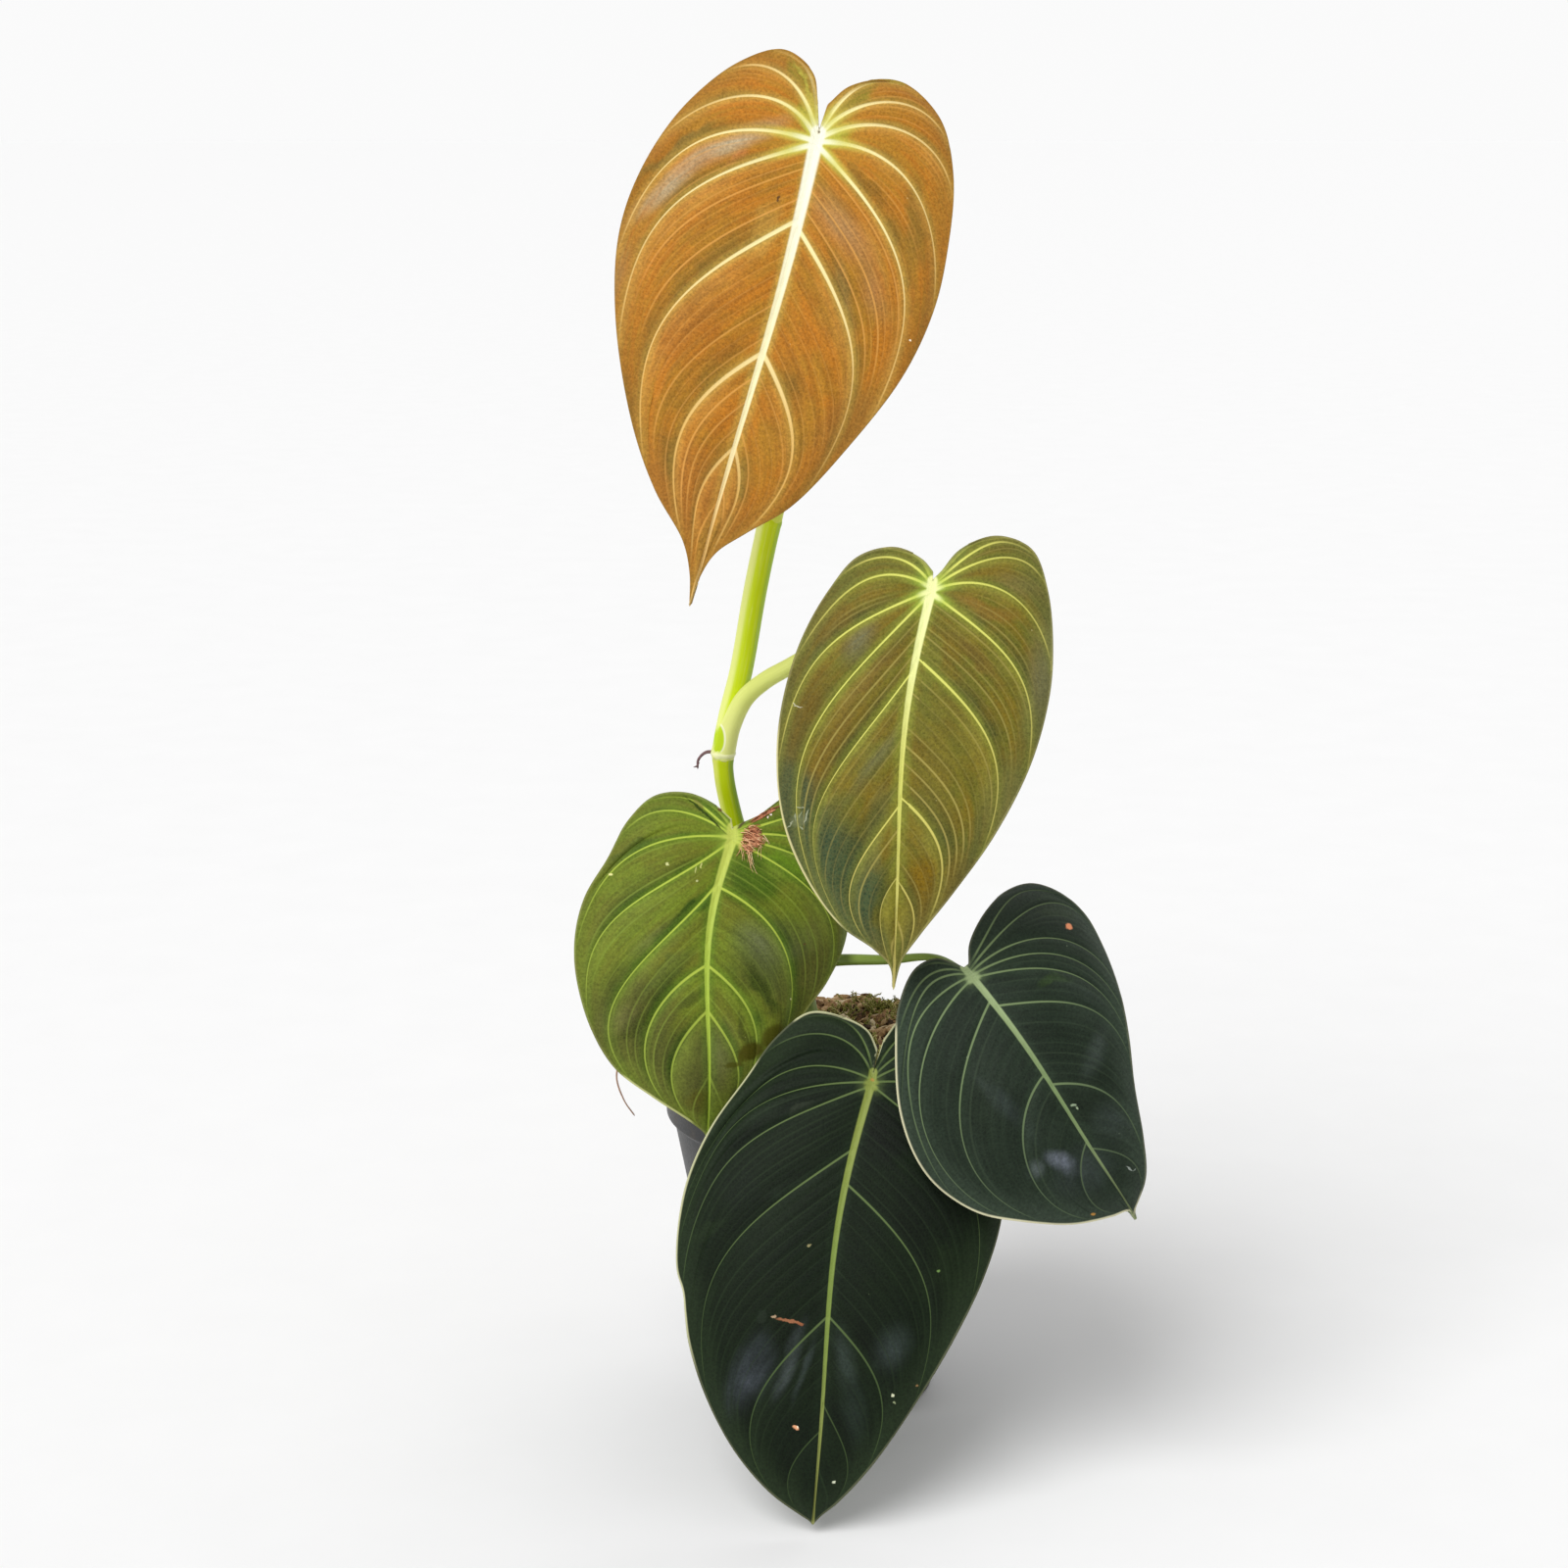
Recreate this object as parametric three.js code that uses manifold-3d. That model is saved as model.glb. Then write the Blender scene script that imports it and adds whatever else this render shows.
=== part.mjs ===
// A potted velvet-leaved climbing philodendron: five hanging heart-shaped leaves on one stem.
// Millimetres, +Z up. The origin is the middle of the pot's underside; -Y is the front.
import * as THREE from 'three';
import { mergeVertices } from 'three/addons/utils/BufferGeometryUtils.js';
import Module from 'manifold-3d';

const wasm = await Module();
wasm.setup();

// Driving dimensions
const GAP = 0.3;                 // clearance between pieces that touch

const POT = {
  height: 95, rimRadius: 47.5, shoulderRadius: 44.6, baseRadius: 29,
  wall: 1.3, rimBand: 13, lip: 2.6, floorRise: 2, floorThickness: 1.4,
  padRadius: 9, footWidth: 6, drainRadius: 4, drainCircle: 16, drains: 6, sides: 36,
};

const MIX = { wallDrop: 1.5, crown: 103, crownRadius: 36, lump: 1.2, sides: 28, seed: 5 };

const STEM = {
  path: [
    [-6, 3, 62], [-6.3, 3, 80], [-6.8, 2.5, 103], [-7.6, 2.8, 112], [-13.5, 3, 128],
    [-21.5, 3, 148], [-27.9, 2, 167], [-30.2, 0, 184.6], [-25, 0, 208.7], [-21.2, 0, 230.4], [-16.6, 0, 252],
  ],
  nodes: [[-6.8, 2.5, 106], [-11.3, 3, 122.5], [-18, 3, 139], [-30.2, 0, 184.6], [-17.4, 0, 248.5]],
  lowRadius: 3.1, waistRadius: 2.75, topRadius: 3.15,
  nodeSwell: 0.55, nodeLength: 2.4, steps: 54, sides: 12,
};

const ROOTS = { count: 6, crownTop: 61.4, crownBottom: 50, crownRadius: 3, radius: 1.5, tipRadius: 0.7,
  reach: 22, depth: 12, steps: 7, sides: 5 };

// Each petiole runs from inside the stem to the junction of its blade.
const PETIOLES = [
  { path: [[-17.4, 0, 247], [-14, -2.2, 262], [-10.4, -4, 290], [-7.8, -5, 322], [-6.3, -8.5, 341],
    [-5.4, -15, 348.1]], base: 2.9, top: 1.8 },
  { path: [[-30.2, 0, 183.5], [-28, -2.5, 193], [-24.2, -5, 201], [-18.8, -9, 206.6], [-12.2, -15, 211.6],
    [-0.7, -27, 221], [11.8, -38, 231.2], [24.1, -45, 236.3]], base: 3, top: 1.9 },
  { path: [[-18, 3, 138.3], [-20.4, -1, 147], [-23.2, -7, 158], [-25.6, -13.5, 164.5],
    [-27.5, -20, 165]], base: 2.2, top: 1.5 },
  { path: [[-11.3, 3, 121.5], [-7, -3.5, 125.5], [1.9, -12, 129], [14.4, -24, 132.6], [26.6, -42, 138.4],
    [35.2, -62, 138.8]], base: 2.3, top: 1.3 },
  { path: [[-6.8, 2.5, 105.8], [-5.5, -5, 109.6], [-1.5, -20, 112], [4, -40, 112.4], [7.6, -52, 111.2],
    [9.3, -58, 108.5]], base: 2.3, top: 1.6 },
];

const TIP = { path: [[-17.2, 1, 250], [-19.4, 3.2, 262], [-20.4, 4.2, 276], [-20, 4.4, 291]], base: 2.6, top: 0.4 };

const AERIAL_ROOTS = [
  { path: [[-19, 3.5, 138.5], [-33, 2, 129], [-48, -6, 116], [-57.5, -15, 104], [-59.5, -20, 98],
    [-57.5, -21, 91.5], [-54.6, -20, 86.5]], base: 0.8, top: 0.8, steps: 22 },
  { path: [[-31.5, 0, 184.8], [-35, -0.8, 184.9], [-37, -1.4, 183], [-37.2, -1.6, 180.4]],
    base: 0.9, top: 0.5, steps: 7 },
];

// Leaf blades: each hangs from its junction to its tip, nearly facing the front. An outline runs
// from the top of the notch over the lobe to the tip, as [across, down]. A vein is
// [start along the midrib, angle from straight up, end along the outline from 0 to 1].
const NOTCH = 3.5;               // the notch stops this far above the junction
const BLADE = { thickness: 0.8, ribTop: 1.5, ribTip: 0.2, quilt: 0.9, columns: [0, 0.06, 0.25, 0.48, 0.72, 0.9, 1] };
const VEIN_END = 12;             // a vein meets the margin at this small angle, in degrees
const VEIN_START_PULL = 0.45;    // how far the vein keeps its first direction
const VEIN_END_PULL = 0.5;

const LEAVES = [
  {
    junction: [-5.4, -15, 348.1], tip: [-37.5, -46, 233.2], yaw: 5, bow: [0.6, 0.5],
    arch: 8, fold: [3, 3], curl: [7, 8], lobe: 5, drip: 2, wave: 0.9,
    left: {
      outline: [[2.2, -11.5], [5.4, -19.2], [14, -23.2], [24.5, -16.7], [34.8, -1.4], [41.2, 18.4],
        [42.4, 36], [37.6, 57.8], [27.5, 81], [16.5, 97.5], [6, 108.3], [2.2, 115.5], [0, 123.3]],
      notch: 12, fan: [[15, 0.11], [25, 0.19], [40, 0.33], [88, 0.505], [122, 0.63]],
      laterals: [[21, 135, 0.79], [57, 136, 0.905], [82, 146, 0.952]],
    },
    right: {
      outline: [[0.5, -11.7], [5.2, -18.8], [17.7, -24.3], [29.4, -18.3], [36.5, -4.1], [40.1, 17.3],
        [40.5, 33.2], [37, 52], [28.2, 73.5], [17.9, 92.5], [8.6, 102.1], [2.6, 108.8], [0.4, 115.5], [0, 123.3]],
      notch: 6, fan: [[13, 0.15], [23, 0.235], [44, 0.31], [73, 0.474], [122, 0.645]],
      laterals: [[23, 134, 0.783], [57, 138, 0.875], [82, 150, 0.936]],
    },
  },
  {
    junction: [24.1, -45, 236.3], tip: [14.2, -72, 138.7], yaw: -6, bow: [-2.5, -0.8],
    arch: 8, fold: [3, 3], curl: [8, 9], lobe: 5, drip: 2, wave: 0.7,
    left: {
      outline: [[0.2, -5.8], [3.4, -8.9], [10.5, -11.4], [19.9, -8.3], [26, 0.2], [32, 15], [35.3, 34],
        [34.9, 47.4], [31.2, 63], [24, 76.3], [14.5, 86.8], [5.5, 92], [1.2, 96], [0, 101.7]],
      notch: 6, fan: [[22, 0.1], [39, 0.206], [63, 0.371], [118, 0.56], [143, 0.8]],
      laterals: [[20, 152, 0.865], [55, 150, 0.915], [73, 147, 0.96]],
    },
    right: {
      outline: [[1.9, -5.9], [6.2, -12.4], [15, -17.1], [24.1, -14.7], [29.4, -4], [32.4, 14], [32.1, 27.3],
        [29, 43], [22.1, 60.2], [13, 76], [5.5, 87.4], [1.6, 94.1], [0, 101.7]],
      notch: 24, fan: [[24, 0.14], [33, 0.207], [46, 0.255], [62, 0.398], [122, 0.578]],
      laterals: [[17, 127, 0.734], [53, 125, 0.882], [74, 140, 0.935]],
    },
  },
  {
    junction: [-27.5, -20, 165], tip: [-33.8, -50, 91.3], yaw: 10, bow: [-4.5, -1.2],
    arch: 7, fold: [3, 3], curl: [8, 8], lobe: 4, drip: 1.5, wave: 0.9,
    left: {
      outline: [[0.4, -6], [4.5, -9.2], [12.5, -12.3], [21, -11], [27.7, -3.5], [32.5, 7.5], [37.9, 19],
        [39.5, 30.5], [38, 42], [33.3, 54], [26, 63.9], [15.5, 70.8], [5, 76.2], [1, 78.6], [0, 79.8]],
      notch: 10, fan: [[34, 0.08], [54, 0.19], [62, 0.287], [91, 0.537], [134, 0.674]],
      laterals: [[12, 146, 0.826], [35, 124, 0.911], [47, 138, 0.96]],
    },
    right: {
      outline: [[2.4, -5], [8, -8.4], [15.4, -15], [20.5, -16.3], [28, -11], [32, -0.5], [35, 12.6], [34.2, 24],
        [29.5, 35], [23.6, 44.3], [15, 60], [8.8, 68.8], [3.4, 75.8], [0, 79.8]],
      notch: 40, fan: [[48, 0.2], [56, 0.3], [73, 0.428], [95, 0.52], [114, 0.604]],
      laterals: [[13.5, 112, 0.799], [35, 122, 0.925], [47, 138, 0.965]],
    },
  },
  {
    junction: [35.2, -62, 138.8], tip: [77.1, -80, 79.9], yaw: 8, bow: [-1, 0.5],
    arch: 9, fold: [2, 2], curl: [8, 9], lobe: 6, drip: 2, wave: 0.8,
    left: {
      outline: [[0.9, -5.4], [4.1, -9.5], [10, -10.3], [18.8, -5], [26.5, 4.2], [34, 16.5], [37.5, 29.4],
        [37.2, 39.5], [33, 49.8], [25, 58], [15, 65.7], [5.2, 70], [0.8, 71.4], [0, 74.5]],
      notch: 14, fan: [[30, 0.12], [38, 0.26], [52, 0.42], [79, 0.62], [97, 0.73]],
      laterals: [[7, 116, 0.809], [30, 104, 0.908], [50, 120, 0.96]],
    },
    right: {
      outline: [[1.6, -3.6], [5.5, -7.8], [14.5, -12], [24, -13.4], [32, -11], [37.1, -4], [38.6, 4], [36.3, 13.3],
        [31.8, 23.2], [25.2, 34.5], [18, 46.5], [12.3, 57.7], [7.2, 66.8], [2.6, 70.8], [0.6, 72.4], [0, 74.5]],
      notch: 46, fan: [[50, 0.335], [58, 0.42], [72, 0.554], [92, 0.61], [110, 0.655]],
      laterals: [[9, 118, 0.7], [33, 118, 0.885], [52, 128, 0.955]],
    },
  },
  {
    junction: [9.3, -58, 108.5], tip: [-6.2, -97, 3.3], yaw: -4, bow: [-3, -1],
    arch: 8, fold: [3, 3], curl: [8, 9], lobe: 5, drip: 1.5, wave: 0.8,
    left: {
      outline: [[-0.2, -9.6], [3, -14.2], [10, -16.9], [19, -17], [27, -9], [33.3, 3], [40.3, 16.8], [44.4, 31],
        [45, 44], [43.6, 54], [41, 59.6], [39.8, 64.5], [37.7, 72.1], [31.5, 85], [22.7, 97], [12.1, 106.5],
        [3.4, 111.3], [1.1, 112.4], [0, 113.3]],
      notch: 4, fan: [[12, 0.15], [24, 0.232], [72, 0.492], [97, 0.55], [120, 0.6]],
      laterals: [[17, 132, 0.771], [60, 140, 0.94], [89, 140, 0.985]],
    },
    right: {
      outline: [[1.6, -12.6], [5.4, -18.8], [12, -21.2], [22.4, -18.1], [31, -6], [36.5, 12], [38, 29], [35.6, 44.2],
        [30, 61], [22.6, 78], [13.2, 95.9], [5.7, 106.6], [1.6, 111], [0, 113.3]],
      notch: 14, fan: [[20, 0.16], [36, 0.22], [55, 0.26], [78, 0.4], [120, 0.598]],
      laterals: [[26, 124, 0.771], [60, 128, 0.893], [82, 146, 0.965]],
    },
  },
];

// Materials
const matte = (color, roughness) => new THREE.MeshStandardMaterial({ color, roughness, metalness: 0 });
const LOOK = {
  pot: matte(0x1c1d1e, 0.6),
  mix: matte(0x6d5238, 0.95),
  roots: matte(0xc9b48c, 0.8),
  stem: matte(0x9fb52c, 0.5),
  petiole: matte(0x8fae3a, 0.5),
  tip: matte(0xb7a24a, 0.55),
  aerial: matte(0x8a5a36, 0.8),
  blades: [0xb4702a, 0x6c6a2a, 0x577a2c, 0x26362c, 0x22332a].map((color) => matte(color, 0.6)),
};

// Solids
function solidOf(geometry) {
  const bare = geometry.clone();
  bare.deleteAttribute('normal');
  bare.deleteAttribute('uv');
  const merged = mergeVertices(bare, 1e-4);
  return new wasm.Manifold(new wasm.Mesh({
    numProp: 3,
    vertProperties: new Float32Array(merged.attributes.position.array),
    triVerts: new Uint32Array(merged.index.array),
  }));
}

function geometryOf(solid) {
  const mesh = solid.getMesh();
  const geometry = new THREE.BufferGeometry();
  geometry.setAttribute('position', new THREE.BufferAttribute(new Float32Array(mesh.vertProperties), 3));
  geometry.setIndex(new THREE.BufferAttribute(new Uint32Array(mesh.triVerts), 1));
  return geometry;
}

// The biggest body of a cut solid; small scraps of the cut are dropped.
function largest(solid) {
  return solid.decompose().reduce((a, b) => (b.volume() > a.volume() ? b : a));
}

function cut(geometry, cutters) {
  return geometryOf(largest(cutters.reduce((solid, cutter) => solid.subtract(solidOf(cutter)), solidOf(geometry))));
}

function indexed(points, faces) {
  const geometry = new THREE.BufferGeometry();
  geometry.setAttribute('position', new THREE.Float32BufferAttribute(points.flatMap((p) => p.toArray()), 3));
  geometry.setIndex(faces.flat());
  return geometry;
}

// Small repeatable random numbers
function randomFrom(seed) {
  let state = seed;
  return () => {
    state = (state * 16807) % 2147483647;
    return state / 2147483647;
  };
}

const vector = (p) => new THREE.Vector3(...p);
const curveThrough = (path) => new THREE.CatmullRomCurve3(path.map(vector), false, 'centripetal');

// A closed tube along a curve; radiusAt gives its radius from 0 at the start to 1 at the end.
function taperedTube(curve, radiusAt, steps, sides) {
  const frames = curve.computeFrenetFrames(steps, false);
  const points = [];
  const faces = [];
  for (let i = 0; i <= steps; i += 1) {
    const centre = curve.getPointAt(i / steps);
    for (let j = 0; j < sides; j += 1) {
      const angle = (2 * Math.PI * j) / sides;
      points.push(centre.clone()
        .addScaledVector(frames.normals[i], radiusAt(i / steps) * Math.cos(angle))
        .addScaledVector(frames.binormals[i], radiusAt(i / steps) * Math.sin(angle)));
    }
  }
  for (let i = 0; i < steps; i += 1) {
    for (let j = 0; j < sides; j += 1) {
      const a = i * sides + j;
      const b = i * sides + ((j + 1) % sides);
      faces.push([a, b, b + sides], [a, b + sides, a + sides]);
    }
  }
  points.push(curve.getPointAt(0), curve.getPointAt(1));
  const start = points.length - 2;
  for (let j = 0; j < sides; j += 1) {
    const next = (j + 1) % sides;
    faces.push([start, next, j], [start + 1, steps * sides + j, steps * sides + next]);
  }
  return indexed(points, faces);
}

function strand(piece, extra, steps, sides) {
  const radiusAt = (u) => piece.base + (piece.top - piece.base) * Math.min(1, 1.4 * u) + extra;
  return taperedTube(curveThrough(piece.path), radiusAt, steps, sides);
}

// Pot
function potGeometry() {
  const { height, rimRadius, shoulderRadius, baseRadius, wall, rimBand, lip, floorRise, floorThickness } = POT;
  const bandBottom = height - rimBand;
  const floorTop = floorRise + floorThickness;
  const profile = [
    [0, 0], [POT.padRadius, 0], [POT.padRadius + 1, floorRise], [baseRadius - POT.footWidth - 1, floorRise],
    [baseRadius - POT.footWidth, 0], [baseRadius - 0.6, 0], [baseRadius, 0.8],
    [shoulderRadius, bandBottom - 1.5], [rimRadius - 0.9, bandBottom], [rimRadius - 0.5, height - 2.4],
    [rimRadius, height - 1.8], [rimRadius, height - 0.4], [rimRadius - 0.4, height], [rimRadius - lip, height],
    [shoulderRadius - wall, bandBottom - 3], [baseRadius - wall + 0.3, floorTop + 0.6],
    [baseRadius - wall - 0.4, floorTop], [0, floorTop],
  ].map(([x, y]) => new THREE.Vector2(x, y));
  const shell = new THREE.LatheGeometry(profile, POT.sides);
  shell.rotateX(Math.PI / 2);
  let solid = solidOf(shell);
  for (let k = 0; k < POT.drains; k += 1) {
    const angle = (2 * Math.PI * (k + 0.5)) / POT.drains;
    const hole = new THREE.CylinderGeometry(POT.drainRadius, POT.drainRadius, 12, 12);
    hole.rotateX(Math.PI / 2);
    hole.translate(POT.drainCircle * Math.cos(angle), POT.drainCircle * Math.sin(angle), floorRise);
    solid = solid.subtract(solidOf(hole));
  }
  return geometryOf(solid);
}

// Potting mix: fills the pot and heaps up above its rim in soft lumps
function mixGeometry() {
  const { height, shoulderRadius, baseRadius, wall, rimBand, floorRise, floorThickness } = POT;
  const random = randomFrom(MIX.seed);
  const phases = [random(), random(), random(), random()].map((r) => 2 * Math.PI * r);
  const lumpAt = (x, y) => MIX.lump * (Math.sin(x / 4.3 + phases[0]) * Math.cos(y / 3.9 + phases[1])
    + 0.6 * Math.sin((x + y) / 2.9 + phases[2]) * Math.cos((x - y) / 3.3 + phases[3]));
  const bottom = floorRise + floorThickness + GAP;
  const bandBottom = height - rimBand;
  const inner = (z) => {
    const low = bottom - GAP + 0.6;
    const share = (z - low) / (bandBottom - 3 - low);
    return baseRadius - wall + 0.3 + share * (shoulderRadius - baseRadius - 0.3) - GAP;
  };
  const edge = height - MIX.wallDrop;
  const rings = [
    [baseRadius - wall - 0.4 - 2 * GAP, bottom], [inner(bottom + 0.8), bottom + 0.8],
    [inner(40), 40], [inner(bandBottom - 3) - 0.1, bandBottom - 3], [inner(bandBottom - 3) - 0.1, edge - 2],
    [41.5, edge + 1.5], [38, MIX.crown - 2], [MIX.crownRadius, MIX.crown], [27, MIX.crown + 0.4],
    [20, MIX.crown], [13, MIX.crown - 0.3], [6, MIX.crown - 0.3],
  ];
  const points = [];
  const faces = [];
  const { sides } = MIX;
  rings.forEach(([radius, z], i) => {
    for (let j = 0; j < sides; j += 1) {
      const angle = (2 * Math.PI * j) / sides;
      const [x, y] = [radius * Math.cos(angle), radius * Math.sin(angle)];
      points.push(new THREE.Vector3(x, y, i > 4 ? z + lumpAt(x, y) : z));
    }
  });
  for (let i = 0; i < rings.length - 1; i += 1) {
    for (let j = 0; j < sides; j += 1) {
      const a = i * sides + j;
      const b = i * sides + ((j + 1) % sides);
      faces.push([a, b, b + sides], [a, b + sides, a + sides]);
    }
  }
  points.push(new THREE.Vector3(0, 0, bottom), new THREE.Vector3(0, 0, MIX.crown + lumpAt(0, 0)));
  const low = points.length - 2;
  const last = (rings.length - 1) * sides;
  for (let j = 0; j < sides; j += 1) {
    const next = (j + 1) % sides;
    faces.push([low, next, j], [low + 1, last + j, last + next]);
  }
  return indexed(points, faces);
}

// Stem: swells at each node
function stemGeometry(extra) {
  const curve = curveThrough(STEM.path);
  const nodes = STEM.nodes.map(vector);
  const radiusAt = (u) => {
    const point = curve.getPointAt(u);
    const z = point.z;
    const waist = THREE.MathUtils.smoothstep(z, 105, 140);
    const top = THREE.MathUtils.smoothstep(z, 184, 200);
    const plain = THREE.MathUtils.lerp(THREE.MathUtils.lerp(STEM.lowRadius, STEM.waistRadius, waist), STEM.topRadius, top);
    const swell = Math.max(...nodes.map((node) => Math.exp(-((node.distanceTo(point) / STEM.nodeLength) ** 2))));
    return plain + STEM.nodeSwell * swell + extra;
  };
  return taperedTube(curve, radiusAt, STEM.steps, STEM.sides);
}

// Roots: a crown right under the stem, with roots that spread through the mix
function rootSolid(extra) {
  const [x, y] = STEM.path[0];
  const crown = { path: [[x, y, ROOTS.crownTop + 3 * extra], [x, y, 56], [x, y, ROOTS.crownBottom - extra]],
    base: ROOTS.crownRadius, top: ROOTS.crownRadius - 0.6 };
  let solid = solidOf(strand(crown, extra, 4, 10));
  const golden = Math.PI * (3 - Math.sqrt(5));
  for (let k = 0; k < ROOTS.count; k += 1) {
    const angle = k * golden;
    const start = ROOTS.crownBottom + 2 + k;
    const at = (reach, z, swing) => [x + reach * Math.cos(angle + swing), y + reach * Math.sin(angle + swing), z];
    const path = [at(0, start, 0), at(5, start - 2.5, 0), at(ROOTS.reach * 0.45, start - 12, 0.15),
      at(ROOTS.reach * 0.75, (start + ROOTS.depth) / 2 - 3, 0.35), at(ROOTS.reach * 0.8, ROOTS.depth + 2 * k, 0.5)];
    const root = { path, base: ROOTS.radius, top: ROOTS.tipRadius };
    solid = solid.add(solidOf(strand(root, extra, ROOTS.steps, ROOTS.sides)));
  }
  return solid;
}

// Blade surface in its own frame: x across, y up, z towards the viewer
function bladeFrame(leaf) {
  const junction = vector(leaf.junction);
  const chord = vector(leaf.tip).sub(junction);
  const yaw = THREE.MathUtils.degToRad(leaf.yaw);
  const length = chord.length();
  const turned = chord.clone().divideScalar(length).applyAxisAngle(new THREE.Vector3(0, 0, 1), -yaw);
  const roll = Math.asin(turned.x);
  const pitch = Math.atan2(-turned.y, -turned.z);
  const matrix = new THREE.Matrix4().makeTranslation(junction)
    .multiply(new THREE.Matrix4().makeRotationZ(yaw))
    .multiply(new THREE.Matrix4().makeRotationX(Math.PI / 2 - pitch))
    .multiply(new THREE.Matrix4().makeRotationZ(roll));
  return { length, matrix };
}

function veinTable(side, length) {
  const basal = side.fan.map(([angle, end], k) => [-NOTCH * (1 - (k + 1) / side.fan.length), angle, end]);
  return [[-NOTCH, side.notch, 0], ...basal, ...side.laterals, [length, 178, 1]];
}

// The vein line that starts at a place along the midrib, between its two nearest main veins
function veinLine(side, sign, table, start, midline) {
  const outline = side.curve;
  const k = Math.max(1, table.findIndex((row) => row[0] >= start - 1e-9));
  const [low, high] = [table[k - 1], table[k]];
  const share = THREE.MathUtils.clamp((start - low[0]) / (high[0] - low[0]), 0, 1);
  const angle = THREE.MathUtils.degToRad(THREE.MathUtils.lerp(low[1], high[1], share));
  const end = THREE.MathUtils.lerp(low[2], high[2], share);
  const from = new THREE.Vector2(sign * midline(start), start);
  const to3 = outline.getPointAt(end);
  const to = new THREE.Vector2(to3.x, to3.y);
  const tangent3 = outline.getTangentAt(end);
  const turn = THREE.MathUtils.degToRad(end === 0 ? 0 : VEIN_END);
  const tangent = new THREE.Vector2(
    Math.cos(turn) * tangent3.x + Math.sin(turn) * tangent3.y,
    Math.cos(turn) * tangent3.y - Math.sin(turn) * tangent3.x,
  );
  const reach = from.distanceTo(to);
  const line = new THREE.CubicBezierCurve(
    from,
    from.clone().add(new THREE.Vector2(Math.sin(angle), -Math.cos(angle)).multiplyScalar(VEIN_START_PULL * reach)),
    to.clone().addScaledVector(tangent, -VEIN_END_PULL * reach),
    to,
  );
  return { line, share, end };
}

function bladeHeight(leaf, length, across, down, side) {
  const t = down / length;
  const a = Math.abs(across) / (length / 3);
  let height = leaf.arch * 4 * t * (t > 0 ? 1 - t : 1);
  height += leaf.fold[side] * (Math.sqrt(a * a + 0.01) - 0.1);
  height -= leaf.curl[side] * a * a;
  height -= t < 0 ? leaf.lobe * (3 * t) ** 2 : 0;
  height -= t > 0.8 ? leaf.drip * ((t - 0.8) / 0.2) ** 2 : 0;
  return height;
}

// Lines of the blade run along its veins: the main veins of both halves, and two between each pair
function bladeStarts(tables) {
  const mains = [...new Set(tables.flat().map((row) => row[0]))].sort((a, b) => a - b)
    .filter((start, i, all) => i === 0 || start - all[i - 1] > 0.5);
  return mains.flatMap((start, i) => {
    if (i === mains.length - 1) return [start];
    const next = mains[i + 1];
    const parts = next - start < 5 ? 2 : 3;
    return Array.from({ length: parts }, (_, k) => start + ((next - start) * k) / parts);
  });
}

function bladeGeometry(leaf, extra = 0) {
  const { length, matrix } = bladeFrame(leaf);
  const midline = (down) => {
    const t = THREE.MathUtils.clamp(down / length, 0, 1);
    return leaf.bow[0] * Math.sin(Math.PI * t) + leaf.bow[1] * Math.sin(2 * Math.PI * t);
  };
  const sides = [leaf.left, leaf.right].map((side) => ({
    ...side, curve: new THREE.CatmullRomCurve3(side.outline.map(([x, y]) => new THREE.Vector3(x, y, 0)), false, 'centripetal'),
  }));
  const tables = sides.map((side) => veinTable(side, length));
  const starts = bladeStarts(tables);
  const points = [];
  const ribs = [];
  const faces = [];
  const columns = BLADE.columns.length;
  const rows = starts.length;
  const lookup = [[], []];
  const addPoint = (side, row, column) => {
    const sign = side === 0 ? -1 : 1;
    const { line, share, end } = veinLine(sides[side], sign, tables[side], starts[row], midline);
    const r = BLADE.columns[column];
    const place = line.getPoint(r);
    const [across, down] = [sign * place.x, place.y];
    const quilt = BLADE.quilt * Math.sin(Math.PI * share) ** 0.8 * Math.sin(Math.PI * r ** 0.8);
    const wave = leaf.wave * Math.sin(7 * Math.PI * end + side) * r * r * Math.min(1, 5 * (1 - end));
    const height = bladeHeight(leaf, length, across - midline(down), down, side);
    points.push(new THREE.Vector3(across, -down, height + quilt + wave));
    const along = THREE.MathUtils.clamp(starts[row] / length, 0, 1);
    ribs.push(column === 0 ? THREE.MathUtils.lerp(BLADE.ribTop, BLADE.ribTip, along) : 0);
    return points.length - 1;
  };
  for (let row = 0; row < rows; row += 1) {
    for (let side = 0; side < 2; side += 1) {
      lookup[side][row] = [];
      for (let column = 0; column < columns; column += 1) {
        const shared = row === rows - 1 && column > 0 ? lookup[side][row][0] : null;
        const middle = side === 1 && column === 0 ? lookup[0][row][0] : null;
        lookup[side][row][column] = shared ?? middle ?? addPoint(side, row, column);
      }
    }
  }
  for (let side = 0; side < 2; side += 1) {
    for (let row = 0; row < rows - 1; row += 1) {
      for (let column = 0; column < columns - 1; column += 1) {
        const [a, b] = [lookup[side][row][column], lookup[side][row][column + 1]];
        const [c, d] = [lookup[side][row + 1][column], lookup[side][row + 1][column + 1]];
        const quad = [[a, c, b], [b, c, d]].filter((face) => new Set(face).size === 3);
        faces.push(...quad.map(([p, q, s]) => (side === 0 ? [p, s, q] : [p, q, s])));
      }
    }
  }
  return thicken(points, faces, ribs, BLADE.thickness / 2 + extra).applyMatrix4(matrix);
}

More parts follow.
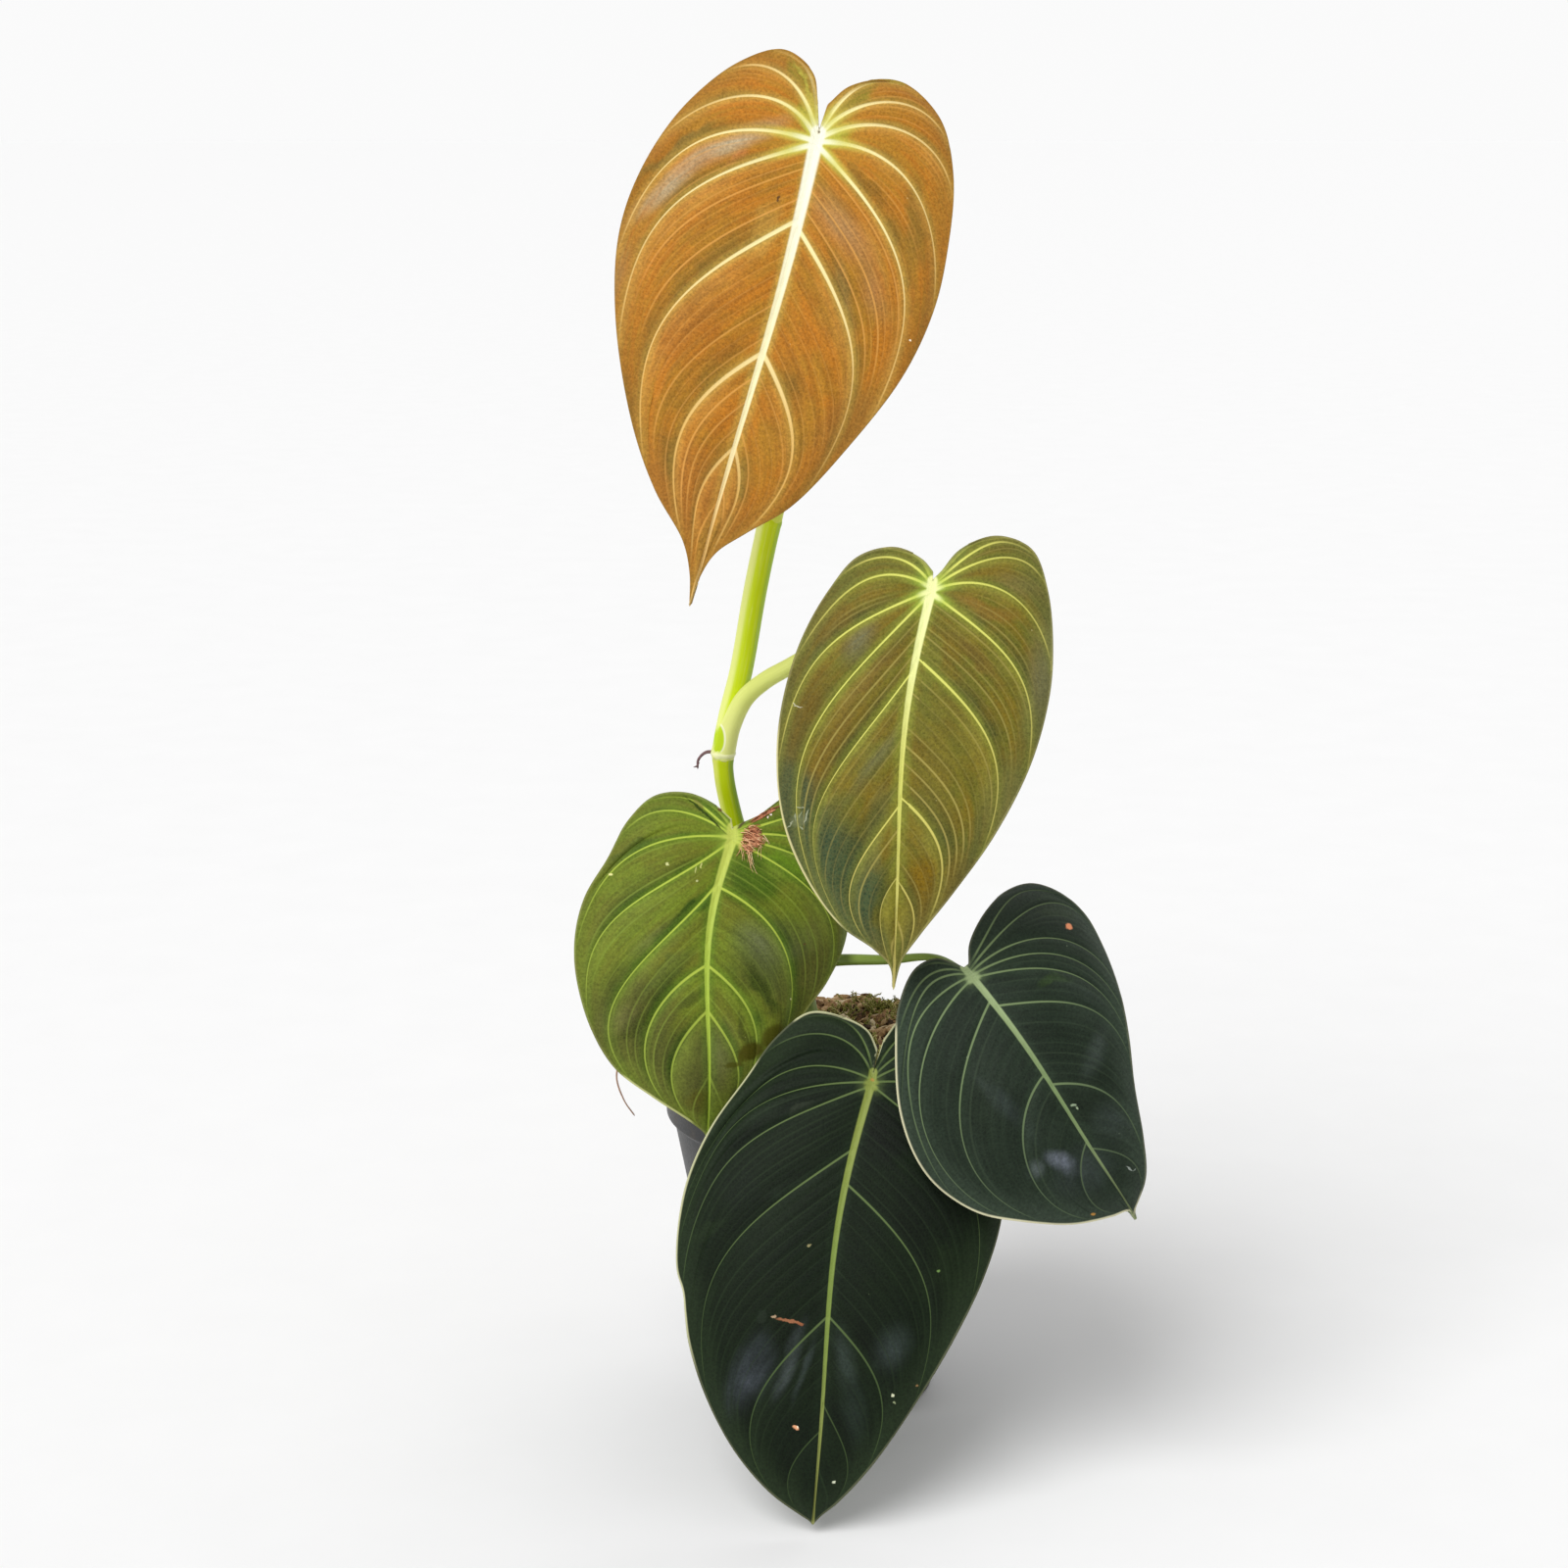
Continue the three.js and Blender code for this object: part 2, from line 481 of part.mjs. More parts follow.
// Thicken an open surface to both sides, with its ribs on the underside; both faces have the same triangles
function thicken(points, faces, ribs, half) {
  const normals = points.map(() => new THREE.Vector3());
  const borders = new Map();
  faces.forEach((face) => {
    const [a, b, c] = face.map((i) => points[i]);
    const normal = new THREE.Vector3().subVectors(b, a).cross(new THREE.Vector3().subVectors(c, a)).normalize();
    face.forEach((i) => normals[i].add(normal));
    face.forEach((from, k) => {
      const to = face[(k + 1) % 3];
      if (!borders.delete(`${to},${from}`)) borders.set(`${from},${to}`, [from, to]);
    });
  });
  const count = points.length;
  const upper = points.map((p, i) => p.clone().addScaledVector(normals[i].normalize(), half));
  const lower = points.map((p, i) => p.clone().addScaledVector(normals[i], -half - ribs[i]));
  const walls = [...borders.values()].flatMap(([from, to]) => [[from, from + count, to], [to, from + count, to + count]]);
  return indexed([...upper, ...lower], [
    ...faces,
    ...faces.map(([a, b, c]) => [a + count, c + count, b + count]),
    ...walls,
  ]);
}

// Assembly
const plant = new THREE.Group();

function place(name, geometry, material) {
  const mesh = new THREE.Mesh(geometry, material);
  mesh.name = name;
  plant.add(mesh);
}

const stemClear = stemGeometry(GAP);
const rootsClear = geometryOf(rootSolid(GAP));

place('pot', potGeometry(), LOOK.pot);
place('potting_mix', cut(mixGeometry(), [stemClear, rootsClear]), LOOK.mix);
place('roots', geometryOf(rootSolid(0)), LOOK.roots);
place('main_stem', stemGeometry(0), LOOK.stem);

LEAVES.forEach((leaf, k) => {
  const number = k + 1;
  place(`leaf_blade_${number}`, bladeGeometry(leaf), LOOK.blades[k]);
  const petiole = strand(PETIOLES[k], 0, 16, 8);
  place(`petiole_${number}`, cut(petiole, [stemClear, bladeGeometry(leaf, GAP)]), LOOK.petiole);
});

const firstPetioleClear = strand(PETIOLES[0], GAP, 16, 8);
place('growing_tip', cut(strand(TIP, 0, 8, 8), [stemClear, firstPetioleClear]), LOOK.tip);

AERIAL_ROOTS.forEach((root, k) => {
  place(`aerial_root_${k + 1}`, cut(strand(root, 0, root.steps, 6), [stemClear]), LOOK.aerial);
});

export default plant;
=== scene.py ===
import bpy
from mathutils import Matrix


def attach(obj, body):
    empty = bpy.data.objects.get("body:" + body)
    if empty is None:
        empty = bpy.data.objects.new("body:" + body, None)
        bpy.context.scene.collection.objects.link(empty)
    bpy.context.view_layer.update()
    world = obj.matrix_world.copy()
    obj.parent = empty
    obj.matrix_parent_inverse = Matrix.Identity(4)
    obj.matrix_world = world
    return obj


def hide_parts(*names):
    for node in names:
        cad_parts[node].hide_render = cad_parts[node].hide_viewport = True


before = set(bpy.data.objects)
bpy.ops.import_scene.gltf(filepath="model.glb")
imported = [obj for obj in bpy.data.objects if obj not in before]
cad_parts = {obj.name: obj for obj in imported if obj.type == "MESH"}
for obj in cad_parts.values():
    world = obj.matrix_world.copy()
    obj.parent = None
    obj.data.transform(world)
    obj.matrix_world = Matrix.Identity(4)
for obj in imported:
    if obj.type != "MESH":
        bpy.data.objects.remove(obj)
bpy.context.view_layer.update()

# A potted velvet-leaved climbing philodendron: five hanging heart-shaped leaves on one stem.
# Shapes are worked out in millimetres, as in the source, and turned into metres in make_mesh().
import math
import random

import bmesh
import bpy
import numpy as np
from mathutils import Matrix, Vector, kdtree, noise

MM = 0.001

# The leaves, as in the source. Each hangs from its junction to its tip. An outline runs from the top
# of the notch over the lobe to the tip, as across and down. A fan vein is [angle from straight up, end
# along the outline from 0 to 1], and a lateral also says first where it starts down the midrib.
LEAVES = [
    dict(
        junction=(-5.4, -15, 348.1), tip=(-37.5, -46, 233.2), yaw=5, bow=(0.6, 0.5), arch=8, fold=(3, 3),
        curl=(7, 8), lobe=5, drip=2, wave=0.9,
        left=dict(notch=12, fan=[[15, 0.11], [25, 0.19], [40, 0.33], [88, 0.505], [122, 0.63]],
            laterals=[[21, 135, 0.79], [57, 136, 0.905], [82, 146, 0.952]],
            outline="""2.2 -11.5, 5.4 -19.2, 14 -23.2, 24.5 -16.7, 34.8 -1.4, 41.2 18.4, 42.4 36,
                37.6 57.8, 27.5 81, 16.5 97.5, 6 108.3, 2.2 115.5, 0 123.3"""),
        right=dict(notch=6, fan=[[13, 0.15], [23, 0.235], [44, 0.31], [73, 0.474], [122, 0.645]],
            laterals=[[23, 134, 0.783], [57, 138, 0.875], [82, 150, 0.936]],
            outline="""0.5 -11.7, 5.2 -18.8, 17.7 -24.3, 29.4 -18.3, 36.5 -4.1, 40.1 17.3, 40.5 33.2,
                37 52, 28.2 73.5, 17.9 92.5, 8.6 102.1, 2.6 108.8, 0.4 115.5, 0 123.3"""),
    ),
    dict(
        junction=(24.1, -45, 236.3), tip=(14.2, -72, 138.7), yaw=-6, bow=(-2.5, -0.8), arch=8,
        fold=(3, 3), curl=(8, 9), lobe=5, drip=2, wave=0.7,
        left=dict(notch=6, fan=[[22, 0.1], [39, 0.206], [63, 0.371], [118, 0.56], [143, 0.8]],
            laterals=[[20, 152, 0.865], [55, 150, 0.915], [73, 147, 0.96]],
            outline="""0.2 -5.8, 3.4 -8.9, 10.5 -11.4, 19.9 -8.3, 26 0.2, 32 15, 35.3 34, 34.9 47.4,
                31.2 63, 24 76.3, 14.5 86.8, 5.5 92, 1.2 96, 0 101.7"""),
        right=dict(notch=24, fan=[[38, 0.14], [42, 0.207], [50, 0.255], [63, 0.398], [122, 0.578]],
            laterals=[[17, 127, 0.734], [53, 125, 0.882], [74, 140, 0.935]],
            outline="""1.9 -5.9, 6.2 -12.4, 15 -17.1, 24.1 -14.7, 29.4 -4, 32.4 14, 32.1 27.3, 29 43,
                22.1 60.2, 13 76, 5.5 87.4, 1.6 94.1, 0 101.7"""),
    ),
    dict(
        junction=(-27.5, -20, 165), tip=(-33.8, -50, 91.3), yaw=10, bow=(-4.5, -1.2), arch=7, fold=(3, 3),
        curl=(8, 8), lobe=4, drip=1.5, wave=0.9,
        left=dict(notch=10, fan=[[34, 0.08], [54, 0.19], [62, 0.287], [91, 0.537], [134, 0.674]],
            laterals=[[12, 146, 0.826], [35, 124, 0.911], [47, 138, 0.96]],
            outline="""0.4 -6, 4.5 -9.2, 12.5 -12.3, 21 -11, 27.7 -3.5, 32.5 7.5, 37.9 19, 39.5 30.5,
                38 42, 33.3 54, 26 63.9, 15.5 70.8, 5 76.2, 1 78.6, 0 79.8"""),
        right=dict(notch=40, fan=[[72, 0.2], [75, 0.3], [81, 0.428], [96, 0.52], [114, 0.604]],
            laterals=[[13.5, 112, 0.799], [35, 122, 0.925], [47, 138, 0.965]],
            outline="""2.4 -5, 8 -8.4, 15.4 -15, 20.5 -16.3, 28 -11, 32 -0.5, 35 12.6, 34.2 24, 29.5 35,
                23.6 44.3, 15 60, 8.8 68.8, 3.4 75.8, 0 79.8"""),
    ),
    dict(
        junction=(35.2, -62, 138.8), tip=(77.1, -80, 79.9), yaw=8, bow=(-1, 0.5), arch=9, fold=(2, 2),
        curl=(8, 9), lobe=6, drip=2, wave=0.8,
        left=dict(notch=14, fan=[[30, 0.12], [38, 0.26], [52, 0.42], [79, 0.62], [97, 0.73]],
            laterals=[[7, 116, 0.809], [30, 104, 0.908], [50, 120, 0.96]],
            outline="""0.9 -5.4, 4.1 -9.5, 10 -10.3, 18.8 -5, 26.5 4.2, 34 16.5, 37.5 29.4, 37.2 39.5,
                33 49.8, 25 58, 15 65.7, 5.2 70, 0.8 71.4, 0 74.5"""),
        right=dict(notch=46, fan=[[70, 0.335], [74, 0.42], [80, 0.554], [93, 0.61], [110, 0.655]],
            laterals=[[9, 118, 0.7], [33, 118, 0.885], [52, 128, 0.955]],
            outline="""1.6 -3.6, 5.5 -7.8, 14.5 -12, 24 -13.4, 32 -11, 37.1 -4, 38.6 4, 36.3 13.3,
                31.8 23.2, 25.2 34.5, 18 46.5, 12.3 57.7, 7.2 66.8, 2.6 70.8, 0.6 72.4, 0 74.5"""),
    ),
    dict(
        junction=(9.3, -58, 108.5), tip=(-6.2, -97, 3.3), yaw=-4, bow=(-3, -1), arch=8, fold=(3, 3),
        curl=(8, 9), lobe=5, drip=1.5, wave=0.8,
        left=dict(notch=4, fan=[[12, 0.15], [24, 0.232], [72, 0.492], [97, 0.55], [120, 0.6]],
            laterals=[[17, 132, 0.771], [60, 140, 0.94], [89, 140, 0.985]],
            outline="""-0.2 -9.6, 3 -14.2, 10 -16.9, 19 -17, 27 -9, 33.3 3, 40.3 16.8, 44.4 31, 45 44,
                43.6 54, 41 59.6, 39.8 64.5, 37.7 72.1, 31.5 85, 22.7 97, 12.1 106.5, 3.4 111.3,
                1.1 112.4, 0 113.3"""),
        right=dict(notch=14, fan=[[20, 0.16], [36, 0.22], [55, 0.26], [78, 0.4], [120, 0.598]],
            laterals=[[26, 124, 0.771], [60, 128, 0.893], [82, 146, 0.965]],
            outline="""1.6 -12.6, 5.4 -18.8, 12 -21.2, 22.4 -18.1, 31 -6, 36.5 12, 38 29, 35.6 44.2,
                30 61, 22.6 78, 13.2 95.9, 5.7 106.6, 1.6 111, 0 113.3"""),
    ),
]

NOTCH = 3.5  # the notch stops this far above the junction
VEIN_END = math.radians(12)  # a vein meets the margin at this angle
VEIN_START_PULL = 0.45
VEIN_END_PULL = 0.5
QUILT = 0.9  # how far the blade rises between two main veins
EDGE_MATCH = 0.9  # how much a lobe's edge is matched to the nearest points of its first vein
BLADE = dict(half=0.28, margin_half=0.14, columns=54, spacing=0.92, minor_gap=3.1)
RIB = dict(top=1.4, tip=0.25, groove=0.3)  # the midrib's rise behind at both ends, and its groove in front
VEIN = dict(rise=0.4, groove=0.16)
FINE_RIDGE = 0.05  # how far the blade rises between two fine veins
SWELL = 0.2  # how far it rises and falls in wide soft swells
BLACK = (0.0, 0.0, 0.0)


def colour(shown, shift=0):
    """The linear colour that a shader takes, from one as it shows on a screen: two hexadecimal digits
    each for red, green and blue. shift makes all three lighter or darker, out of 255."""
    values = [min(255, max(0, value + shift)) / 255 for value in bytes.fromhex(shown)]
    return tuple(c / 12.92 if c <= 0.04045 else ((c + 0.055) / 1.055) ** 2.4 for c in values)


def smooth(values, start, end):
    """0 at start, 1 at end, with soft ends."""
    share = np.clip((np.asarray(values, float) - start) / (end - start), 0, 1)
    return share * share * (3 - 2 * share)


def bump(distance, width):
    """A soft hill, 1 where the distance is 0."""
    return np.exp(-((np.asarray(distance, float) / width) ** 2))


def unit(vectors, least=1e-12):
    """Vectors along the last axis, made 1 long. Those shorter than least stay short."""
    return vectors / np.maximum(np.linalg.norm(vectors, axis=-1, keepdims=True), least)


class Path:
    """A centripetal Catmull-Rom curve through points, measured along its length from 0 to 1."""

    def __init__(self, points, samples=60):
        p = np.asarray(points, float)
        p = np.vstack([2 * p[0] - p[1], p, 2 * p[-1] - p[-2]])
        pieces = []
        for i in range(1, len(p) - 2):
            before, start, end, after = p[i - 1 : i + 3]
            d0, d1, d2 = (np.linalg.norm(gap) ** 0.5 for gap in (start - before, end - start, after - end))
            leave = ((start - before) / d0 - (end - before) / (d0 + d1) + (end - start) / d1) * d1
            arrive = ((end - start) / d1 - (after - start) / (d1 + d2) + (after - end) / d2) * d1
            t = np.linspace(0, 1, samples, endpoint=False)[:, None]
            bend = (3 * (end - start) - 2 * leave - arrive) * t**2
            pieces.append(start + leave * t + bend + (2 * (start - end) + leave + arrive) * t**3)
        self.points = np.vstack([*pieces, p[-2:-1]])
        steps = np.linalg.norm(np.diff(self.points, axis=0), axis=1)
        self.lengths = np.concatenate([[0], np.cumsum(steps)])
        self.length = self.lengths[-1]

    def at(self, share):
        place = np.clip(share, 0, 1) * self.length
        return np.stack([np.interp(place, self.lengths, column) for column in self.points.T], axis=-1)

    def tangent(self, share):
        return unit(self.at(np.asarray(share) + 1e-3) - self.at(np.asarray(share) - 1e-3))


def side_faces(count, sides):
    """Faces between rings of points one above the other, and the numbers of the points in each ring."""
    index = np.arange(count * sides).reshape(count, sides)
    turned = np.roll(index, -1, axis=1)
    faces = np.stack([index[:-1], turned[:-1], turned[1:], index[1:]], axis=-1).reshape(-1, 4)
    return faces.tolist(), index


def capped_faces(count, sides):
    """The same, closed at both ends by fans to the two points that come after the rings."""
    faces, index = side_faces(count, sides)
    low, high = count * sides, count * sides + 1
    faces += [[low, int(b), int(a)] for a, b in zip(index[0], np.roll(index[0], -1))]
    return faces + [[high, int(a), int(b)] for a, b in zip(index[-1], np.roll(index[-1], -1))]


def join(parts):
    """Points, faces and values at the points of several meshes as one."""
    points, faces, values = [], [], []
    count = 0
    for part_points, part_faces, part_values in parts:
        points.append(part_points)
        faces += [[v + count for v in face] for face in part_faces]
        values.append(part_values)
        count += len(part_points)
    return np.concatenate(points), faces, np.concatenate(values)


def make_mesh(name, points, faces, materials, numbers=None, vectors=None, looks=None):
    """A smooth piece from points in millimetres. numbers and vectors are values at its points."""
    mesh = bpy.data.meshes.new(name)
    mesh.from_pydata((np.asarray(points) * MM).tolist(), [], faces)
    for kind, key_of_value, layers in (("FLOAT", "value", numbers), ("FLOAT_VECTOR", "vector", vectors)):
        for key, values in (layers or {}).items():
            layer = mesh.attributes.new(key, kind, "POINT")
            layer.data.foreach_set(key_of_value, np.asarray(values, np.float32).ravel())
    for material in materials:
        mesh.materials.append(material)
    if looks is not None:
        mesh.polygons.foreach_set("material_index", np.asarray(looks, np.int32))
    mesh.shade_smooth()
    mesh.update()
    piece = bpy.data.objects.new(name, mesh)
    bpy.context.scene.collection.objects.link(piece)
    return piece


def place_piece(piece, slot, *nodes):
    """Rides a piece on the plant's one body and hides the parts of the model that it stands in for."""
    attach(piece, "root")
    if nodes:
        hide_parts(*nodes)


def place_tube(name, mesh, look, slot, node):
    points, faces, around = mesh
    place_piece(make_mesh(name, points, faces, [look], vectors={"around": around}), slot, node)


def place_ground(name, mesh, look, slot, *nodes):
    points, faces, tone = mesh
    place_piece(make_mesh(name, points, faces, [look], {"tone": tone}), slot, *nodes)


# Node materials
class Look:
    """A node material around one Principled shader, built from plain values and sockets."""

    def __init__(self, name):
        self.material = bpy.data.materials.new(name)
        self.material.use_nodes = True
        self.tree = self.material.node_tree
        self.shader = self.tree.nodes["Principled BSDF"]

    def feed(self, socket, value):
        if isinstance(value, bpy.types.NodeSocket):
            self.tree.links.new(value, socket)
        elif socket.type == "RGBA" and len(value) == 3:
            socket.default_value = (*value, 1)
        else:
            socket.default_value = value

    def node(self, kind, inputs, **settings):
        node = self.tree.nodes.new("ShaderNode" + kind)
        for key, value in settings.items():
            setattr(node, key, value)
        for key, value in inputs.items():
            self.feed(node.inputs[key], value)
        return node

    def out(self, output, kind, inputs, **settings):
        return self.node(kind, inputs, **settings).outputs[output]

    def number(self, name):
        return self.out("Fac", "Attribute", {}, attribute_name=name)

    def vector(self, name):
        return self.out("Vector", "Attribute", {}, attribute_name=name)

    def position(self, scale):
        """The place on the piece in the part's frame, in units of 1 / scale metres."""
        where = self.out("Object", "TexCoord", {})
        return self.out("Vector", "VectorMath", {0: where, "Scale": scale}, operation="SCALE")

    def axis(self, name, vector):
        """One part of a vector: X, Y or Z."""
        return self.out(name, "SeparateXYZ", {0: vector})

    def pair(self, x, y):
        return self.out("Vector", "CombineXYZ", {0: x, 1: y})

    def math(self, operation, first, second=0.0, third=0.0):
        return self.out("Value", "Math", {0: first, 1: second, 2: third}, operation=operation)

    def times(self, first, second):
        return self.math("MULTIPLY", first, second)

    def plus(self, first, second):
        return self.math("ADD", first, second)

    def vectors(self, operation, first, second=BLACK):
        output = "Value" if operation == "LENGTH" else "Vector"
        return self.out(output, "VectorMath", {0: first, 1: second}, operation=operation)

    def stretch(self, vector, scale):
        return self.vectors("MULTIPLY", vector, scale)

    def fade(self, value, start, end, low=0.0, high=1.0):
        """low at start, high at end, with soft ends."""
        inputs = {"Value": value, "From Min": start, "From Max": end, "To Min": low, "To Max": high}
        return self.out("Result", "MapRange", inputs, interpolation_type="SMOOTHSTEP")

    def mix(self, share, first, second, blend="MIX"):
        return self.out(2, "Mix", {0: share, 6: first, 7: second}, data_type="RGBA", blend_type=blend)

    def darken(self, share, base):
        return self.mix(share, base, BLACK, "MULTIPLY")

    def noise(self, vector, scale, detail=3.0, rough=0.55, output="Fac"):
        inputs = {"Vector": vector, "Scale": scale, "Detail": detail, "Roughness": rough}
        return self.out(output, "TexNoise", inputs)

    def cells(self, vector, scale, feature="F1", randomness=1.0):
        inputs = {"Vector": vector, "Scale": scale, "Randomness": randomness}
        return self.node("TexVoronoi", inputs, feature=feature).outputs

    def spot(self, where, centre, size, turn=0.0, edge=0.6):
        """1 inside an ellipse and 0 outside it. edge is the share of its size where it starts to fade."""
        inputs = {"Vector": where, "Location": (*centre, 0.0), "Rotation": (0.0, 0.0, math.radians(turn)),
                  "Scale": (*size, 1.0)}
        local = self.out("Vector", "Mapping", inputs, vector_type="TEXTURE")
        return self.fade(self.vectors("LENGTH", local), edge, 1.0, 1.0, 0.0)

    def bump(self, height, strength, distance):
        return self.out("Normal", "Bump", {"Height": height, "Strength": strength, "Distance": distance})

    def finish(self, base, rough, normal=None, **plain):
        inputs = {"Base Color": base, "Roughness": rough}
        if normal is not None:
            inputs["Normal"] = normal
        for key, value in plain.items():
            inputs[key.replace("_", " ")] = value
        for key, value in inputs.items():
            self.feed(self.shader.inputs[key], value)
        return self.material


# Blade shapes
PROBES = np.array([0.35, 0.7, 1.0])  # where the space between two vein lines is measured
FLAT = 0.002  # a cell lower than this share of its width counts as squeezed flat
UNTANGLE_ROUNDS = 400
SMOOTH_ROUNDS = 60
RIM_BULGE = 0.12


def blade_frame(leaf):
    """Length, and the matrix from across, up and towards the viewer to the part's frame."""
    junction = Vector(leaf["junction"])
    chord = Vector(leaf["tip"]) - junction
    yaw = math.radians(leaf["yaw"])
    turned = Matrix.Rotation(-yaw, 3, "Z") @ (chord / chord.length)
    roll = math.asin(turned.x)
    pitch = math.atan2(-turned.y, -turned.z)
    matrix = Matrix.Translation(junction) @ Matrix.Rotation(yaw, 4, "Z")
    matrix = matrix @ Matrix.Rotation(math.pi / 2 - pitch, 4, "X") @ Matrix.Rotation(roll, 4, "Z")
    return chord.length, matrix


def vein_table(side, length):
    """Main veins as rows of start, angle and end, with the notch first and the tip last."""
    count = len(side["fan"])
    basal = [[-NOTCH * (1 - (k + 1) / count), angle, end] for k, (angle, end) in enumerate(side["fan"])]
    return np.array([[-NOTCH, side["notch"], 0], *basal, *side["laterals"], [length, 178, 1]], float)


def vein_lines(outline, table, starts, first_across, reach):
    """Points of the vein lines from starts, at each reach from 0 at the midrib to 1 at the margin."""
    row = np.clip(np.searchsorted(table[:, 0], starts - 1e-9), 1, len(table) - 1)
    low, high = table[row - 1], table[row]
    share = np.clip((starts - low[:, 0]) / (high[:, 0] - low[:, 0]), 0, 1)
    _, angle, end = (low + share[:, None] * (high - low)).T
    first = np.stack([first_across, starts], axis=-1)
    last = outline.at(end)
    x, y = outline.tangent(end).T
    turn = np.where(end == 0, 0, VEIN_END)
    arrive = np.stack([np.cos(turn) * x + np.sin(turn) * y, np.cos(turn) * y - np.sin(turn) * x], axis=-1)
    leave = np.stack([np.sin(np.radians(angle)), -np.cos(np.radians(angle))], axis=-1)
    span = np.linalg.norm(last - first, axis=-1)[:, None]
    controls = [first, first + leave * VEIN_START_PULL * span, last - arrive * VEIN_END_PULL * span, last]
    weights = [(1 - reach) ** 3, 3 * (1 - reach) ** 2 * reach, 3 * (1 - reach) * reach**2, reach**3]
    points = sum(w[None, :, None] * c[:, None, :] for w, c in zip(weights, controls))
    return points, share, end, row


def nearest(points, targets):
    """Distance from each point to the nearest of the targets."""
    tree = kdtree.KDTree(len(targets))
    for i, (x, y) in enumerate(targets):
        tree.insert((x, y, 0), i)
    tree.balance()
    away = [tree.find((x, y, 0))[2] for x, y in points.reshape(-1, 2)]
    return np.array(away).reshape(points.shape[:-1])


def blade_reach():
    """Columns of a half, closer together at the midrib and at the margin."""
    t = np.linspace(0, 1, BLADE["columns"] + 1)
    return (1 - t) * t**1.4 + t * (1 - (1 - t) ** 1.4)


def finer(values, times):
    """The same values with more between them."""
    steps = np.arange(len(values) * times - times + 1) / times
    return np.interp(steps, np.arange(len(values)), values)


def blade_starts(halves, length):
    """Line starts along the midrib: every main vein, and enough between to keep the lines close."""
    mains = np.unique(np.concatenate([half["table"][:, 0] for half in halves]))
    starts = []
    for low, high in zip(mains[:-1], mains[1:]):
        widest = 0
        for half in halves:
            pair = vein_lines(half["outline"], half["table"], np.array([low, high]), np.zeros(2), PROBES)[0]
            widest = max(widest, np.linalg.norm(np.diff(pair, axis=0), axis=-1).max())
        count = max(2, math.ceil(widest / BLADE["spacing"]))
        starts.append(np.linspace(low, high, count, endpoint=False))
    return np.concatenate([*starts, [length]])


def lobe_edge(points, end, outline, last, reach):
    """Lays the first line along the edge of the lobe, and the next ones between it and the first vein."""
    corner = 0.5 * end[last]
    edge = np.vstack([points[:1, 0], outline.at(np.linspace(0, corner, 300))])
    away = np.concatenate([[0], np.cumsum(np.linalg.norm(np.diff(edge, axis=0), axis=1))])
    away /= away[-1]
    close = np.linalg.norm(points[last][:, None] - edge[None], axis=-1).argmin(axis=1)
    facing = np.maximum.accumulate(away[close])
    facing = reach + EDGE_MATCH * (facing * (1 - reach**6) + reach**6 - reach)
    facing[0] = 0
    first = np.stack([np.interp(facing, away, edge[:, k]) for k in (0, 1)], axis=-1)
    share = (np.arange(last + 1) / last)[:, None, None]
    end[: last + 1] = corner + (end[last] - corner) * share[:, 0, 0]
    far, vein = outline.at(end[: last + 1])[:, None], points[last].copy()
    bulge = far - (1 - share) * first[-1] - share * vein[-1]
    points[: last + 1] = (1 - share) * first + share * vein + reach[None, :, None] ** 8 * bulge


def turned(points):
    """Which cells of a grid are turned over or squeezed flat."""
    ahead, aside = np.diff(points, axis=1), np.diff(points, axis=0)
    turns = [a[..., 1] * b[..., 0] - a[..., 0] * b[..., 1]
             for a in (aside[:, :-1], aside[:, 1:]) for b in (ahead[:-1], ahead[1:])]
    bad = np.min(turns, axis=0) < FLAT * np.linalg.norm(ahead[:-1], axis=-1)
    bad[:, 0] = False
    bad[-1] = False
    return bad


def relax(points, share):
    """Moves each inner point of a grid by a share of the way to the middle of its neighbours."""
    around = points[:-2, 1:-1] + points[2:, 1:-1] + points[1:-1, :-2] + points[1:-1, 2:]
    points[1:-1, 1:-1] += share[1:-1, 1:-1, None] * (around / 4 - points[1:-1, 1:-1])


def blurred(mask, reach):
    """The mean of a mask over the cells around each one."""
    for axis in (0, 1):
        mask = np.mean([np.roll(mask, k, axis) for k in range(-reach, reach + 1)], axis=0)
    return mask


def around_cells(bad, reach):
    """Which points lie within a reach of a bad cell."""
    return blurred(np.pad(bad, ((0, 1), (0, 1))).astype(float), reach) > 0


def untangle(points):
    """Relaxes the grid where its lines cross, until none does, and then smooths what was moved."""
    moved = np.zeros(points.shape[:2])
    for _ in range(UNTANGLE_ROUNDS):
        bad = turned(points)
        if not bad.any():
            break
        near = around_cells(bad, 3).astype(float)
        moved = np.maximum(moved, near)
        relax(points, 0.7 * near)
    left_over = turned(points).sum()
    moved = blurred(blurred(moved, 6), 6)
    for _ in range(SMOOTH_ROUNDS):
        trial = points.copy()
        relax(trial, 0.6 * moved)
        bad = turned(trial)
        if bad.sum() > left_over:
            moved[around_cells(bad, 4)] = 0
        else:
            points[:] = trial


